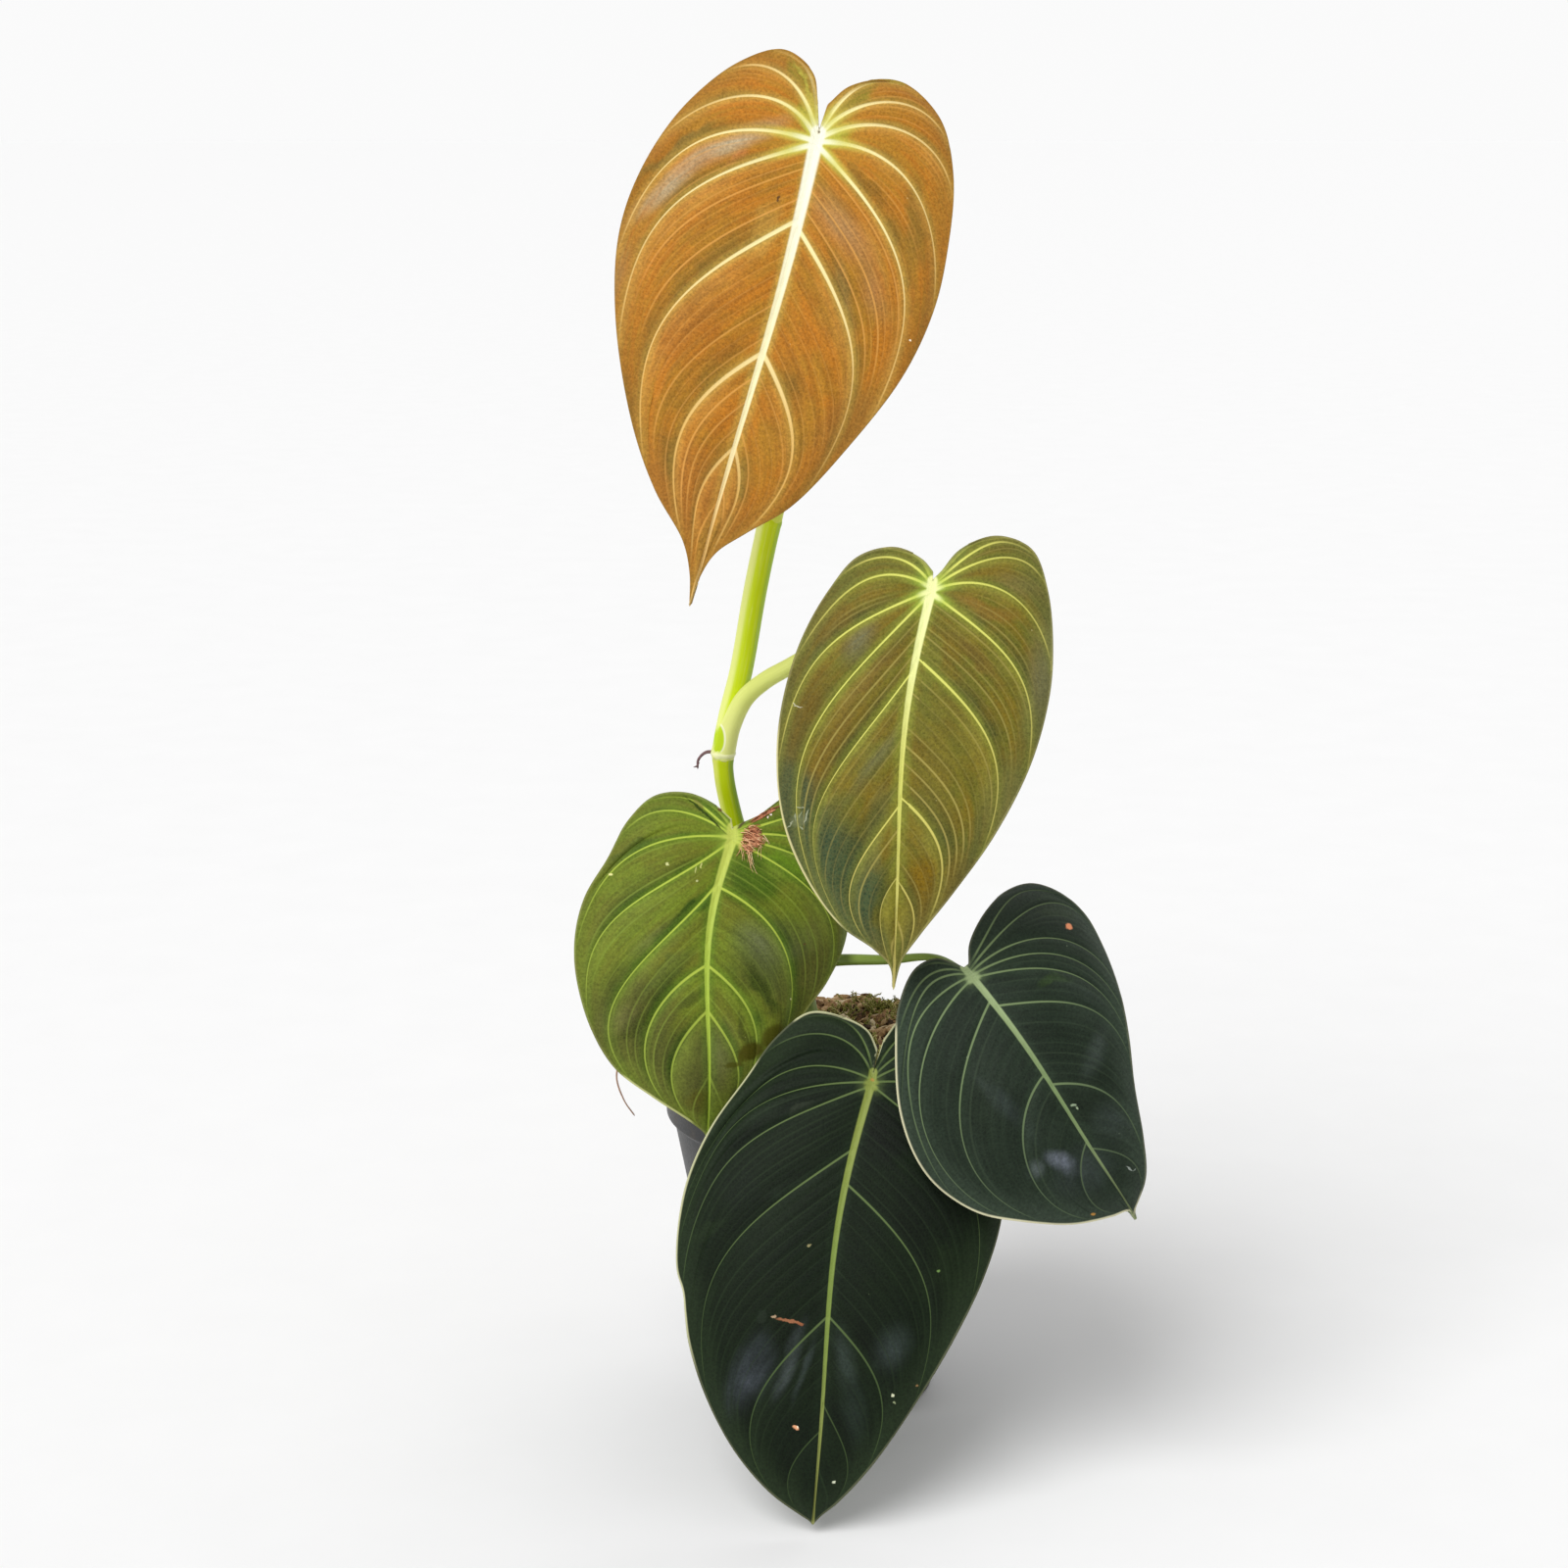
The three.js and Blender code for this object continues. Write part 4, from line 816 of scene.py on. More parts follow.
def blade_front(m, n, look, tones):
    """The velvet front: ground, halos, grain, painted shade in fine folds, veins, midrib, margin and small
    marks, one over the other.
    """
    main, fine, midrib = vein_lines_look(look, m, n)
    place = n["place"]
    base, streak = blade_ground(m, n, look, tones)
    near = m.fade(n["reach"], 0, 0.9, 1, 0.3)
    halo = m.times(m.fade(n["vein"], 0.1, 2.3, 1, 0), m.times(near, look["halo_share"]))
    halo = m.times(halo, m.fade(n["source"], 0.3, 0.75, 1, 0.25))
    beside = m.times(m.fade(n["mid"], 0.9, 3.2, 1, 0), look["halo_share"])
    beside = m.times(beside, m.fade(n["down"], 0.3, 1, 0.9, 0.25))
    base = m.mix(m.math("MAXIMUM", halo, beside), base, tones["halo"])
    grain = m.noise(place, 1.5, 2, 0.65)
    speck = m.out(0, "SeparateColor", {0: m.cells(place, 1.5)["Color"]})
    base = m.darken(m.math("MULTIPLY_ADD", speck, 0.2, m.fade(grain, 0.35, 0.65, 0.0, 0.2)), base)
    # Painted shade in fine folds that run along the veins.
    folds = m.noise(along_veins(m, n, 2.1, 0.05), 1.0, 2, 0.6)
    base = m.darken(m.times(m.fade(folds, 0.42, 0.62, 0, 0.2), m.fade(n["gap"], 0.8, 2)), base)
    cells = m.cells(place, 1.15, "DISTANCE_TO_EDGE", 0.9)["Distance"]
    base = m.mix(m.fade(cells, 0.02, 0.2, 0.08, 0), base, tones["minor"])
    base = m.mix(m.times(fine, look["minor_share"]), base, tones["minor"])
    tone = m.mix(m.fade(m.plus(n["reach"], n["source"]), 0.1, 1.1), tones["vein"], tones["vein_end"])
    clear = m.times(m.fade(n["reach"], 0.3, 1, 0.95, 0.55), m.fade(n["source"], 0.5, 0.8, 1, 0.6))
    base = m.mix(m.times(main, clear), base, tone)
    hub, hub_reach = m.vectors("LENGTH", place), look["hub_reach"]
    glow = m.times(m.fade(hub, 1.0, hub_reach, look["hub_share"], 0), m.fade(n["vein"], 0.2, 2.4, 1, 0.1))
    base = m.mix(glow, base, tones["hub"])
    first, middle, last = (colour(shown) for shown in look["midrib"])
    meeting = m.times(m.fade(hub, 1.2, 0.5 * hub_reach, 0.9, 0), m.fade(n["vein"], 0.3, 1.1, 1, 0))
    base = m.mix(meeting, base, first)
    rib = m.mix(m.fade(n["down"], 0, 0.5), first, middle)
    rib = m.mix(m.fade(n["down"], 0.5, 1), rib, last)
    rib_streaks = m.noise(m.stretch(place, (3.0, 0.12, 0.0)), 1.0)
    base = m.mix(midrib, base, m.darken(m.fade(rib_streaks, 0.35, 0.7, 0, 0.12), rib))
    strong = look["margin_share"]
    for centre, size, turn in look["rims"]:
        strong = m.math("MAXIMUM", strong, m.spot(place, centre, size, turn, 0.75))
    base = m.mix(m.times(m.fade(n["edge"], 0.2, 0.6, 0.9, 0), strong), base, tones["margin"])
    rare = m.cells(place, 0.11)
    lucky = m.math("GREATER_THAN", m.out(1, "SeparateColor", {0: rare["Color"]}), 0.6)
    base = m.mix(m.times(m.fade(rare["Distance"], 0.022, 0.04, 0.7, 0), lucky), base, tones["fleck"])
    base = add_spots(m, base, look["marks"], wander(m, place, 0.9, 1.1), 0.55)
    rough = m.mix(midrib, m.mix(grain, (0.5,) * 3, (0.7,) * 3), (0.42,) * 3)
    lumps = m.math("MULTIPLY_ADD", m.fade(cells, 0, 0.35), 0.5, grain)
    normal = m.bump(m.plus(lumps, streak), 0.35, 0.00012)
    return m.finish(base, rough, normal, Specular_IOR_Level=0.12, Sheen_Weight=look["sheen"],
                    Sheen_Roughness=0.45, Sheen_Tint=tones["minor"])


def blade_back(m, n, look, tones):
    """The plainer underside."""
    main, fine, midrib = vein_lines_look(look, m, n)
    base = m.darken(m.fade(m.noise(n["place"], 0.12), 0.3, 0.7, 0, 0.25), tones["under"])
    veins = m.math("MAXIMUM", m.math("MAXIMUM", main, m.times(fine, 0.4)), midrib)
    base = m.mix(m.times(veins, 0.85), base, tones["under_vein"])
    base = m.mix(m.times(m.fade(n["edge"], 0.15, 0.6, 1, 0), look["margin_share"]), base, tones["margin"])
    grain = m.noise(n["place"], 2.2, 2, 0.7)
    rough = m.fade(grain, 0.3, 0.7, 0.5, 0.68)
    return m.finish(base, rough, m.bump(grain, 0.3, 0.0001), Specular_IOR_Level=0.25, Sheen_Weight=0.1)


def build_blades():
    blades = []
    for number, (leaf, look) in enumerate(zip(LEAVES, BLADE_LOOKS), 1):
        length = blade_frame(leaf)[0]
        points, faces, sides, values = blade_mesh(leaf)
        vectors = {"place": values.pop("place")}
        tones = {key: colour(value) for key, value in look.items() if key in BLADE_TONES}
        materials = []
        for name, paint in (("velvet", blade_front), ("underside", blade_back)):
            m = Look(f"{name}_{number}")
            materials.append(paint(m, blade_numbers(m, length), look, tones))
        piece = make_mesh(f"leaf_{number}", points, faces, materials, values, vectors, sides)
        place_piece(piece, f"blade_{number}", f"leaf_blade_{number}")
        blades.append((points, vectors["place"]))
    return blades


# Stage, light and camera
WHITE = (1.0, 1.0, 1.0, 1)
ROOM_LIGHT = 0.5
ROOM_SEEN = 0.96  # the room as the camera sees it, almost white
SUNS = {"key": (2.2, 40, -35, 48), "fill": (0.5, 60, 150, 40)}  # strength, angle, azimuth, elevation
CAMERA = dict(sensor_width=36, lens=66.67, location=(-0.0135, -0.7795, 0.3558), look_down=77)
FLOOR_SIZE = 40000  # millimetres from the middle to each side
FLOOR_HEIGHT = -0.3


def build_stage():
    m = Look("pale_floor")
    base = m.mix(m.noise(m.position(1.0), 30), (0.85,) * 3, (0.88,) * 3)
    m.finish(base, 0.9, Specular_IOR_Level=0.1)
    signs = ((-1, -1), (1, -1), (1, 1), (-1, 1))
    corners = [(x * FLOOR_SIZE, y * FLOOR_SIZE, FLOOR_HEIGHT) for x, y in signs]
    make_mesh("floor", corners, [(0, 1, 2, 3)], [m.material])


def build_light():
    bpy.context.scene.view_settings.view_transform = "Standard"
    world = bpy.data.worlds.new("soft_room")
    bpy.context.scene.world = world
    world.use_nodes = True
    nodes, links = world.node_tree.nodes, world.node_tree.links
    both = nodes.new("ShaderNodeMixShader")
    links.new(nodes.new("ShaderNodeLightPath").outputs["Is Camera Ray"], both.inputs[0])
    rooms = (nodes["Background"], ROOM_LIGHT), (nodes.new("ShaderNodeBackground"), ROOM_SEEN)
    for k, (room, strength) in enumerate(rooms, 1):
        room.inputs["Color"].default_value = WHITE
        room.inputs["Strength"].default_value = strength
        links.new(room.outputs[0], both.inputs[k])
    links.new(both.outputs[0], nodes["World Output"].inputs["Surface"])
    for name, (strength, angle, azimuth, elevation) in SUNS.items():
        light = bpy.data.lights.new(name, "SUN")
        light.energy = strength
        light.angle = math.radians(angle)
        lamp = bpy.data.objects.new(name, light)
        lamp.rotation_euler = (math.radians(90 - elevation), 0, math.radians(azimuth))
        bpy.context.scene.collection.objects.link(lamp)


def build_camera():
    lens = bpy.data.cameras.new("camera")
    lens.sensor_width = CAMERA["sensor_width"]
    lens.lens = CAMERA["lens"]
    camera = bpy.data.objects.new("camera", lens)
    camera.location = CAMERA["location"]
    camera.rotation_euler = (math.radians(CAMERA["look_down"]), 0, 0)
    bpy.context.scene.collection.objects.link(camera)
    bpy.context.scene.camera = camera


# Stem, stalks, tip and aerial roots: tubes along the same paths as in the source
STEM_PATH = [
    [-6, 3, 62], [-6.3, 3, 80], [-6.8, 2.5, 103], [-7.6, 2.8, 112], [-13.5, 3, 128], [-21.5, 3, 148],
    [-27.9, 2, 167], [-30.2, 0, 184.6], [-25, 0, 208.7], [-21.2, 0, 230.4], [-16.6, 0, 252],
]
STEM_NODES = [[-6.8, 2.5, 106], [-11.3, 3, 122.5], [-18, 3, 139], [-30.2, 0, 184.6], [-17.4, 0, 248.5]]
NODE_SWELLS = [1, 1, 1, 1, 0.25]
STEM = dict(low=3.1, waist=2.75, top=3.15, swell=0.55, node_length=2.4, steps=420, sides=48)

# Each stalk: path, radii, and the side on which it is grooved
PETIOLES = [
    dict(path=[[-17.4, 0, 247], [-14, -2.2, 262], [-10.4, -4, 290], [-7.8, -5, 322], [-6.3, -8.5, 341],
               [-5.4, -15, 348.1]], base=2.9, top=1.8, groove=(-0.5, 0.9, 0.0)),
    dict(path=[[-30.2, 0, 183.5], [-28, -2.5, 193], [-24.2, -5, 201], [-18.8, -9, 206.6], [-12.2, -15, 211.6],
               [-0.7, -27, 221], [11.8, -38, 231.2], [24.1, -45, 236.3]],
         base=3.0, top=1.9, groove=(-0.7, 0.2, 0.7)),
    dict(path=[[-18, 3, 138.3], [-20.4, -1, 147], [-23.2, -7, 158], [-25.6, -13.5, 164.5], [-27.5, -20, 165]],
         base=2.2, top=1.5, groove=(0.2, 0.7, 0.7)),
    dict(path=[[-11.3, 3, 121.5], [-7, -3.5, 125.5], [1.9, -12, 129], [14.4, -24, 132.6], [26.6, -42, 138.4],
               [35.2, -62, 138.8]], base=2.1, top=0.95, groove=(-0.3, 0.3, 0.9)),
    dict(path=[[-6.8, 2.5, 105.8], [-5.5, -5, 109.6], [-1.5, -20, 112], [4, -40, 112.4], [7.6, -52, 111.2],
               [9.3, -58, 108.5]], base=2.3, top=1.6, groove=(0.0, 0.3, 0.9)),
]
TIP_PATH = [[-17.2, 1, 250], [-19.4, 3.2, 262], [-20.4, 4.2, 276], [-20, 4.4, 291]]
AERIAL_ROOTS = [
    [[-19, 3.5, 138.5], [-33, 2, 129], [-48, -6, 116], [-57.5, -15, 104], [-59.5, -20, 98],
     [-57.5, -21, 91.5], [-54.6, -20, 86.5]],
    [[-31.5, 0, 184.8], [-35, -0.8, 184.9], [-37, -1.4, 183], [-37.2, -1.6, 180.4]],
]
FRONT = (0, -1, 0)
PETIOLE_SIDES = 40
ROOT_SIDES = 10
BUD = (-31.3, 189.6), (2.1, 4.6)  # centre and size of the bud at the second stalk, across and up
# The side roots of the two aerial roots
SIDE_SHOOT = [[-58.6, -17.5, 101], [-57, -19.5, 100.2], [-56, -21.5, 100.6]]
FORK = [[-36.9, -1.4, 182.2], [-37.4, -2.2, 181.4], [-38.4, -2.8, 181.2]]


def carried_sides(points, first):
    """Two directions to the sides of a line, carried along it without twist from a first side."""
    ahead = unit(np.gradient(points, axis=0))
    sides = []
    side = np.asarray(first, float)
    for direction in ahead:
        side = unit(side - direction * (side @ direction))
        sides.append(side)
    return np.array(sides), np.cross(ahead, sides)


def tube(path, radius, steps, sides, first=FRONT):
    """A closed tube. radius(share, along, angle) gives millimetres on a grid of steps and angles, and
    angle 0 starts on the side of first."""
    share = np.linspace(0, 1, steps)
    centre = path.at(share)
    one, two = carried_sides(centre, first)
    angle = np.linspace(0, 2 * np.pi, sides, endpoint=False)[None, :]
    along = share[:, None] * path.length
    size = radius(share[:, None], along, angle) * np.ones((steps, sides))
    ring = np.cos(angle)[..., None] * one[:, None] + np.sin(angle)[..., None] * two[:, None]
    points = (centre[:, None] + ring * size[..., None]).reshape(-1, 3)
    faces, index = side_faces(steps, sides)
    faces += [index[0, ::-1].tolist(), index[-1].tolist()]
    around = np.stack([np.cos(angle) + 0 * along, np.sin(angle) + 0 * along, along + 0 * angle], axis=-1)
    return points, faces, around.reshape(-1, 3)


def angle_off(angle):
    """An angle, wrapped to the half turn on either side of 0."""
    return np.angle(np.exp(1j * angle))


def round_end(along, length, size, reach):
    """Closes a tube's far end in a dome of the given reach."""
    left = np.clip((length - along) / reach, 0, 1)
    return size * np.sqrt(np.clip(1 - (1 - left) ** 2, 0.0004, 1))


def stem_mesh():
    path = Path(STEM_PATH)
    dense = np.linspace(0, 1, 4000)
    at_node = []
    for node in STEM_NODES:
        nearest_one = np.argmin(np.linalg.norm(path.at(dense) - node, axis=1))
        at_node.append(dense[nearest_one] * path.length)

    def radius(share, along, angle):
        z = path.at(share[:, 0])[:, 2:3]
        size = STEM["low"] + (STEM["waist"] - STEM["low"]) * smooth(z, 105, 140)
        size = size + (STEM["top"] - size) * smooth(z, 184, 200)
        for node, swell in zip(at_node, NODE_SWELLS):
            size = size + swell * STEM["swell"] * bump(along - node, STEM["node_length"])
            size = size + swell * (0.26 * bump(along - node, 0.6) - 0.12 * bump(along - node + 1.3, 0.5))
        size = size * (1 + 0.012 * np.cos(4 * angle + along / 30) + 0.01 * np.sin(7 * angle - along / 17))
        bud = bump(along - at_node[3] - 4.6, 2.8) * bump(angle_off(angle + 0.75), 0.5)
        return round_end(along, path.length, size + 0.8 * bud, 3)

    return tube(path, radius, STEM["steps"], STEM["sides"])


def petiole_mesh(petiole):
    path = Path(petiole["path"])
    base, top, length = petiole["base"], petiole["top"], path.length
    steps = max(90, round(length * 2.2))
    centre = path.at(np.linspace(0, 1, steps))
    one, two = carried_sides(centre, FRONT)
    inward = np.asarray(petiole["groove"])
    toward = np.arctan2(two @ inward, one @ inward)[:, None]

    def radius(share, along, angle):
        size = base + (top - base) * np.minimum(1, 1.4 * share)
        off = angle_off(angle - toward)
        sheath = 1 - smooth(along, 6, 18)
        size = size * (1 - (0.1 + 0.22 * sheath) * bump(off, 0.5))
        size = size * (1 + 0.2 * sheath * (bump(off - 0.95, 0.3) + bump(off + 0.95, 0.3)))
        size = size * (1 + 0.14 * bump(along - length + 5, 3.5) + 0.01 * np.sin(5 * angle + along / 9))
        size = size * (1 - 0.55 * smooth(along, length - 6, length - 1.5))
        return round_end(along, length - 1.4, size, 1.2)

    return tube(path, radius, steps, PETIOLE_SIDES)


def tip_mesh():
    path = Path(TIP_PATH)

    def radius(share, along, angle):
        size = 2.6 * (1 - share**2.2) * (0.8 + 0.3 * np.sin(np.pi * np.minimum(1, share * 1.6))) + 0.12
        seam = angle_off(angle - 1.2 - share)
        size = size * (1 - 0.12 * bump(seam, 0.12) + 0.05 * bump(seam - 0.3, 0.25))
        return round_end(along, path.length, size, 1.0)

    return tube(path, radius, 120, PETIOLE_SIDES)


def root_mesh(points, size, seed, steps):
    """A thin root that wanders a little and thickens and thins."""
    path = Path(points)
    luck = random.Random(seed)
    waves = [(luck.uniform(0.4, 1.4), luck.uniform(0, 6)) for _ in range(4)]

    def radius(share, along, angle):
        wander = sum(np.sin(along * rate + shift) for rate, shift in waves) / 4
        taper = 1 - 0.45 * smooth(share, 0.5, 1)
        return round_end(along, path.length, size * taper * (1 + 0.16 * wander), 1.0)

    return tube(path, radius, steps, ROOT_SIDES)


def streaks_on(m, around, squeeze, scale, detail=4, rough=0.6):
    """Noise that is drawn out along a stalk."""
    return m.noise(m.stretch(around, squeeze), scale, detail, rough)


def finish_stalk(m, base, around, streaks, dots, dot_share, dot_tone, shine):
    """Pale dots, fine grain and gloss, for the stem and the stalks."""
    base = m.mix(m.fade(dots, 0.04, 0.1, dot_share, 0), base, colour(dot_tone))
    grain = m.noise(m.stretch(around, (6.0, 6.0, 1.0)), 2.0, 3)
    normal = m.bump(m.plus(grain, streaks), 0.15, 0.00012)
    return m.finish(base, m.fade(grain, 0.3, 0.7, 0.36, 0.5), normal, Specular_IOR_Level=shine)


def stem_look():
    m = Look("young_stem")
    around = m.vector("around")
    side = m.axis("Y", around)
    z = m.axis("Z", m.position(1000.0))
    streaks = streaks_on(m, around, (3.0, 3.0, 0.05), 1.6)
    # Painted light and shade: the stem, its foot too, is paler on its left side and a deeper green on its
    # right, as light from the left falls on it.
    right = m.fade(m.math("MULTIPLY_ADD", streaks, 0.4, side), -0.75, 1.2)
    low = m.mix(m.fade(right, 0.02, 0.2), colour("d2da54"), colour("bcce00"))
    low = m.mix(m.fade(right, 0.7, 1.0), low, colour("82a400"))
    high = m.mix(m.fade(right, 0.02, 0.22), colour("e4ec88"), colour("cade0e"))
    high = m.mix(m.fade(right, 0.8, 1.0), high, colour("a4c406"))
    foot = m.mix(right, colour("b2b88c"), colour("849658"))
    base = m.mix(m.fade(z, 104, 150), foot, low)
    base = m.mix(m.fade(z, 182.5, 186), base, high)
    base = m.mix(m.fade(streaks, 0.45, 0.8, 0, 0.25), base, colour("e8ec96"))
    for node in STEM_NODES[:4]:
        height = m.math("ABSOLUTE", m.math("SUBTRACT", z, node[2] - 0.2))
        base = m.mix(m.fade(height, 0.4, 1.6, 0.85, 0), base, colour("f0f0be"))
    bud = m.spot(m.pair(m.times(side, 3.2), z), (-2.1, 189.4), (2.0, 3.8), 0, 0.3)
    base = m.mix(m.times(bud, m.fade(side, 0.0, -0.1)), base, colour("b8d60a"))
    dots = m.cells(m.stretch(around, (2.6, 2.6, 0.55)), 1.3)["Distance"]
    return finish_stalk(m, base, around, streaks, dots, 0.3, "f0f0c4", 0.22)


def petiole_look(name, low, high, top, bud=None):
    """A stalk, pale at its sheath and greener up to its blade. A bud is its centre and size."""
    m = Look(name)
    around = m.vector("around")
    along = m.axis("Z", around)
    streaks = streaks_on(m, around, (3.0, 3.0, 0.06), 1.8)
    base = m.mix(m.fade(along, 3, 26), colour(low), colour(high))
    base = m.mix(m.fade(along, 60, 90), base, colour(top))
    # Painted shade: each stalk is darker along one side.
    shaded_side = m.math("MULTIPLY_ADD", streaks, 0.4, m.axis("Y", around))
    base = m.mix(m.fade(shaded_side, -0.2, 1.2, 0, 0.3), base, colour(high, -34))
    base = m.mix(m.fade(streaks, 0.45, 0.75, 0, 0.25), base, colour(high, 30))
    if bud:
        place = m.position(1000.0)
        front = m.pair(m.axis("X", place), m.axis("Z", place))
        (x, z), (wide, tall) = bud
        base = m.mix(m.spot(front, (x, z), (wide, tall), 0, 0.85), base, colour("f4f4ce"))
        base = m.mix(m.spot(front, (x - 0.35, z - 0.2), (wide - 0.1, tall), 0, 0.8), base, colour("bcd614"))
    dots = m.cells(m.stretch(around, (2.6, 2.6, 0.6)), 1.5)["Distance"]
    return finish_stalk(m, base, around, streaks, dots, 0.25, "ececc4", 0.25)


def tip_look():
    m = Look("sheathed_tip")
    around = m.vector("around")
    along = m.axis("Z", around)
    base = m.mix(m.fade(along, 2, 22), colour("d6da80"), colour("ce966c"))
    base = m.mix(m.fade(along, 24, 42), base, colour("92543e"))
    streaks = streaks_on(m, around, (4.0, 4.0, 0.05), 2.2)
    base = m.mix(m.fade(streaks, 0.4, 0.7, 0, 0.4), base, colour("e4c48c"))
    return m.finish(base, 0.45, m.bump(streaks, 0.3, 0.0002), Specular_IOR_Level=0.35)


def root_look(name, dark, light):
    m = Look(name)
    streaks = streaks_on(m, m.vector("around"), (2.0, 2.0, 0.5), 1.8, 4, 0.65)
    base = m.mix(m.fade(streaks, 0.35, 0.65), colour(dark), colour(light))
    return m.finish(base, 0.85, m.bump(streaks, 0.6, 0.0003), Specular_IOR_Level=0.2)


def build_stalks():
    place_tube("stem", stem_mesh(), stem_look(), "stem_green", "main_stem")
    old = petiole_look("old_stalk", "a8b464", "809640", "7e9660")
    looks = [
        petiole_look("first_stalk", "d6e254", "d6e060", "ced66e"),
        petiole_look("second_stalk", "e4e88e", "dce47a", "d4dc5c", BUD),
        old, old, old,
    ]
    for k, (petiole, look) in enumerate(zip(PETIOLES, looks), 1):
        place_tube(f"stalk_{k}", petiole_mesh(petiole), look, "petiole_green", f"petiole_{k}")
    place_tube("shoot_tip", tip_mesh(), tip_look(), "sheath_tan", "growing_tip")
    hanging = join([root_mesh(AERIAL_ROOTS[0], 0.36, 3, 160), root_mesh(SIDE_SHOOT, 0.22, 4, 20)])
    pale = root_look("dry_root", "966854", "ceac92")
    place_tube("hanging_root", hanging, pale, "root_brown", "aerial_root_1")
    curled = join([root_mesh(AERIAL_ROOTS[1], 0.46, 5, 60), root_mesh(FORK, 0.26, 6, 20)])
    brown = root_look("dark_root", "5c4242", "8c7074")
    place_tube("curled_root", curled, brown, "root_brown", "aerial_root_2")


# Pot: the same section as in the source, with its corners rounded
POT_SECTION = [
    (0, 0), (9, 0), (10, 2), (22, 2), (23, 0), (28.4, 0), (29, 0.8), (44.6, 80.5), (46.6, 82), (47, 92.6),
    (47.5, 93.2), (47.5, 94.6), (47.1, 95), (44.9, 95), (43.3, 79), (28, 4), (27.3, 3.4), (0, 3.4),
]
POT = dict(sides=180, corner=0.5, drains=6, drain_circle=16, drain_radius=4, drain_middle=2, drill_half=8,
           drill_sides=36)
CRISP_EDGE = math.radians(35)  # edges of the pot sharper than this stay crisp
MIX_SECTION = [(0, 3.7), (26.7, 3.7), (27.4, 4.5), (42.9, 79), (42.9, 91.5)]
MIX_TOP = [(42.9, 91.5), (41.5, 95), (38, 101), (36, 102.6), (27, 103.2), (20, 103), (13, 102.7), (0, 102.9)]
MIX = dict(sides=200, rings=84, last_ring=0.4, lumps=1.3, lump_size=9)
STEM_FOOT = (-6.8, 2.5)
LITTER_REACH = 40  # moss and fibres stay inside this radius
BARK = dict(seed=21, count=430, level=2, lift=0.5, reach=39, keep_off=5,
            sizes=((1.6, 3.8), (1.0, 2.3), (0.5, 1.2)))
CRUMBS = dict(seed=22, count=1500, level=1, lift=0.6, reach=41, keep_off=4,
              sizes=((0.5, 1.2), (0.4, 0.8), (0.3, 0.6)))
FIBRES = dict(seed=23, count=190, tone=0.62)
MOSS_SEED = 24
MOSS_OFF_STEM = 4.5
# Patches of moss: across and back from the middle of the pot, spread, and count of shoots
MOSS_PATCHES = [(15, -22, 5, 150), (23, -26, 3.5, 60), (2, -30, 4, 60), (24, -10, 4, 80), (-20, -18, 5, 50),
                (6, 16, 6, 70), (14, 24, 4, 70), (-26, 10, 5, 50), (28, 14, 4, 60), (4, -6, 5, 50)]
SHOOT = dict(leaves=19, turn=2.4, stem=0.11)  # moss: leaves on a shoot, the turn between two, and its stem


def rounded(section, corner, steps=4):
    """A section with every corner between its ends rounded."""
    p = np.array(section, float)
    points = [p[0]]
    for before, here, after in zip(p[:-2], p[1:-1], p[2:]):
        back, ahead = before - here, after - here
        cut = min(corner, 0.45 * np.linalg.norm(back), 0.45 * np.linalg.norm(ahead))
        start = here + back / np.linalg.norm(back) * cut
        end = here + ahead / np.linalg.norm(ahead) * cut
        for t in np.linspace(0, 1, steps):
            points.append((1 - t) ** 2 * start + 2 * t * (1 - t) * here + t * t * end)
    points.append(p[-1])
    return np.array(points)


def lathe(section, sides):
    """A closed turned shape. The section starts and ends on the axis."""
    angle = np.linspace(0, 2 * np.pi, sides, endpoint=False)
    inner = section[1:-1]
    ring = np.stack([np.cos(angle), np.sin(angle)], axis=-1)
    places = np.concatenate([(inner[:, None, :1] * ring[None]).reshape(-1, 2), np.zeros((2, 2))])
    heights = np.concatenate([np.repeat(inner[:, 1], sides), section[[0, -1], 1]])
    return np.column_stack([places, heights]), capped_faces(len(inner), sides)


def cut_holes(piece, cutter):
    """Takes one piece out of another and removes the cutter."""
    tool = piece.modifiers.new("holes", "BOOLEAN")
    tool.operation = "DIFFERENCE"
    tool.object = cutter
    tool.solver = "EXACT"
    graph = bpy.context.evaluated_depsgraph_get()
    result = bpy.data.meshes.new_from_object(piece.evaluated_get(graph))
    piece.modifiers.clear()
    piece.data = result
    bpy.data.objects.remove(cutter)


def pot_look():
    m = Look("black_plastic")
    where = m.position(1000.0)
    z = m.axis("Z", where)
    dust = m.noise(where, 0.16, 5, 0.65)
    fine = m.noise(where, 1.6, 3, 0.6)
    base = m.mix(m.fade(fine, 0.3, 0.7), colour("1a1b1c"), colour("242526"))
    high = m.times(m.fade(dust, 0.48, 0.72), m.fade(z, 60, 96, 0.08, 0.3))
    base = m.mix(high, base, colour("706250"))
    low = m.times(m.fade(dust, 0.42, 0.7), m.fade(z, 0, 10, 0.3, 0))
    base = m.mix(low, base, colour("786c5c"))
    scratches = m.noise(m.stretch(where, (0.35, 0.35, 6.0)), 1.0, 4, 0.7)
    base = m.mix(m.fade(scratches, 0.64, 0.74, 0, 0.18), base, colour("606264"))
    rough = m.plus(m.fade(fine, 0.3, 0.7, 0.4, 0.52), m.times(high, 0.4))
    normal = m.bump(m.plus(fine, m.times(scratches, 0.5)), 0.2, 0.0002)
    return m.finish(base, rough, normal, Specular_IOR_Level=0.45)


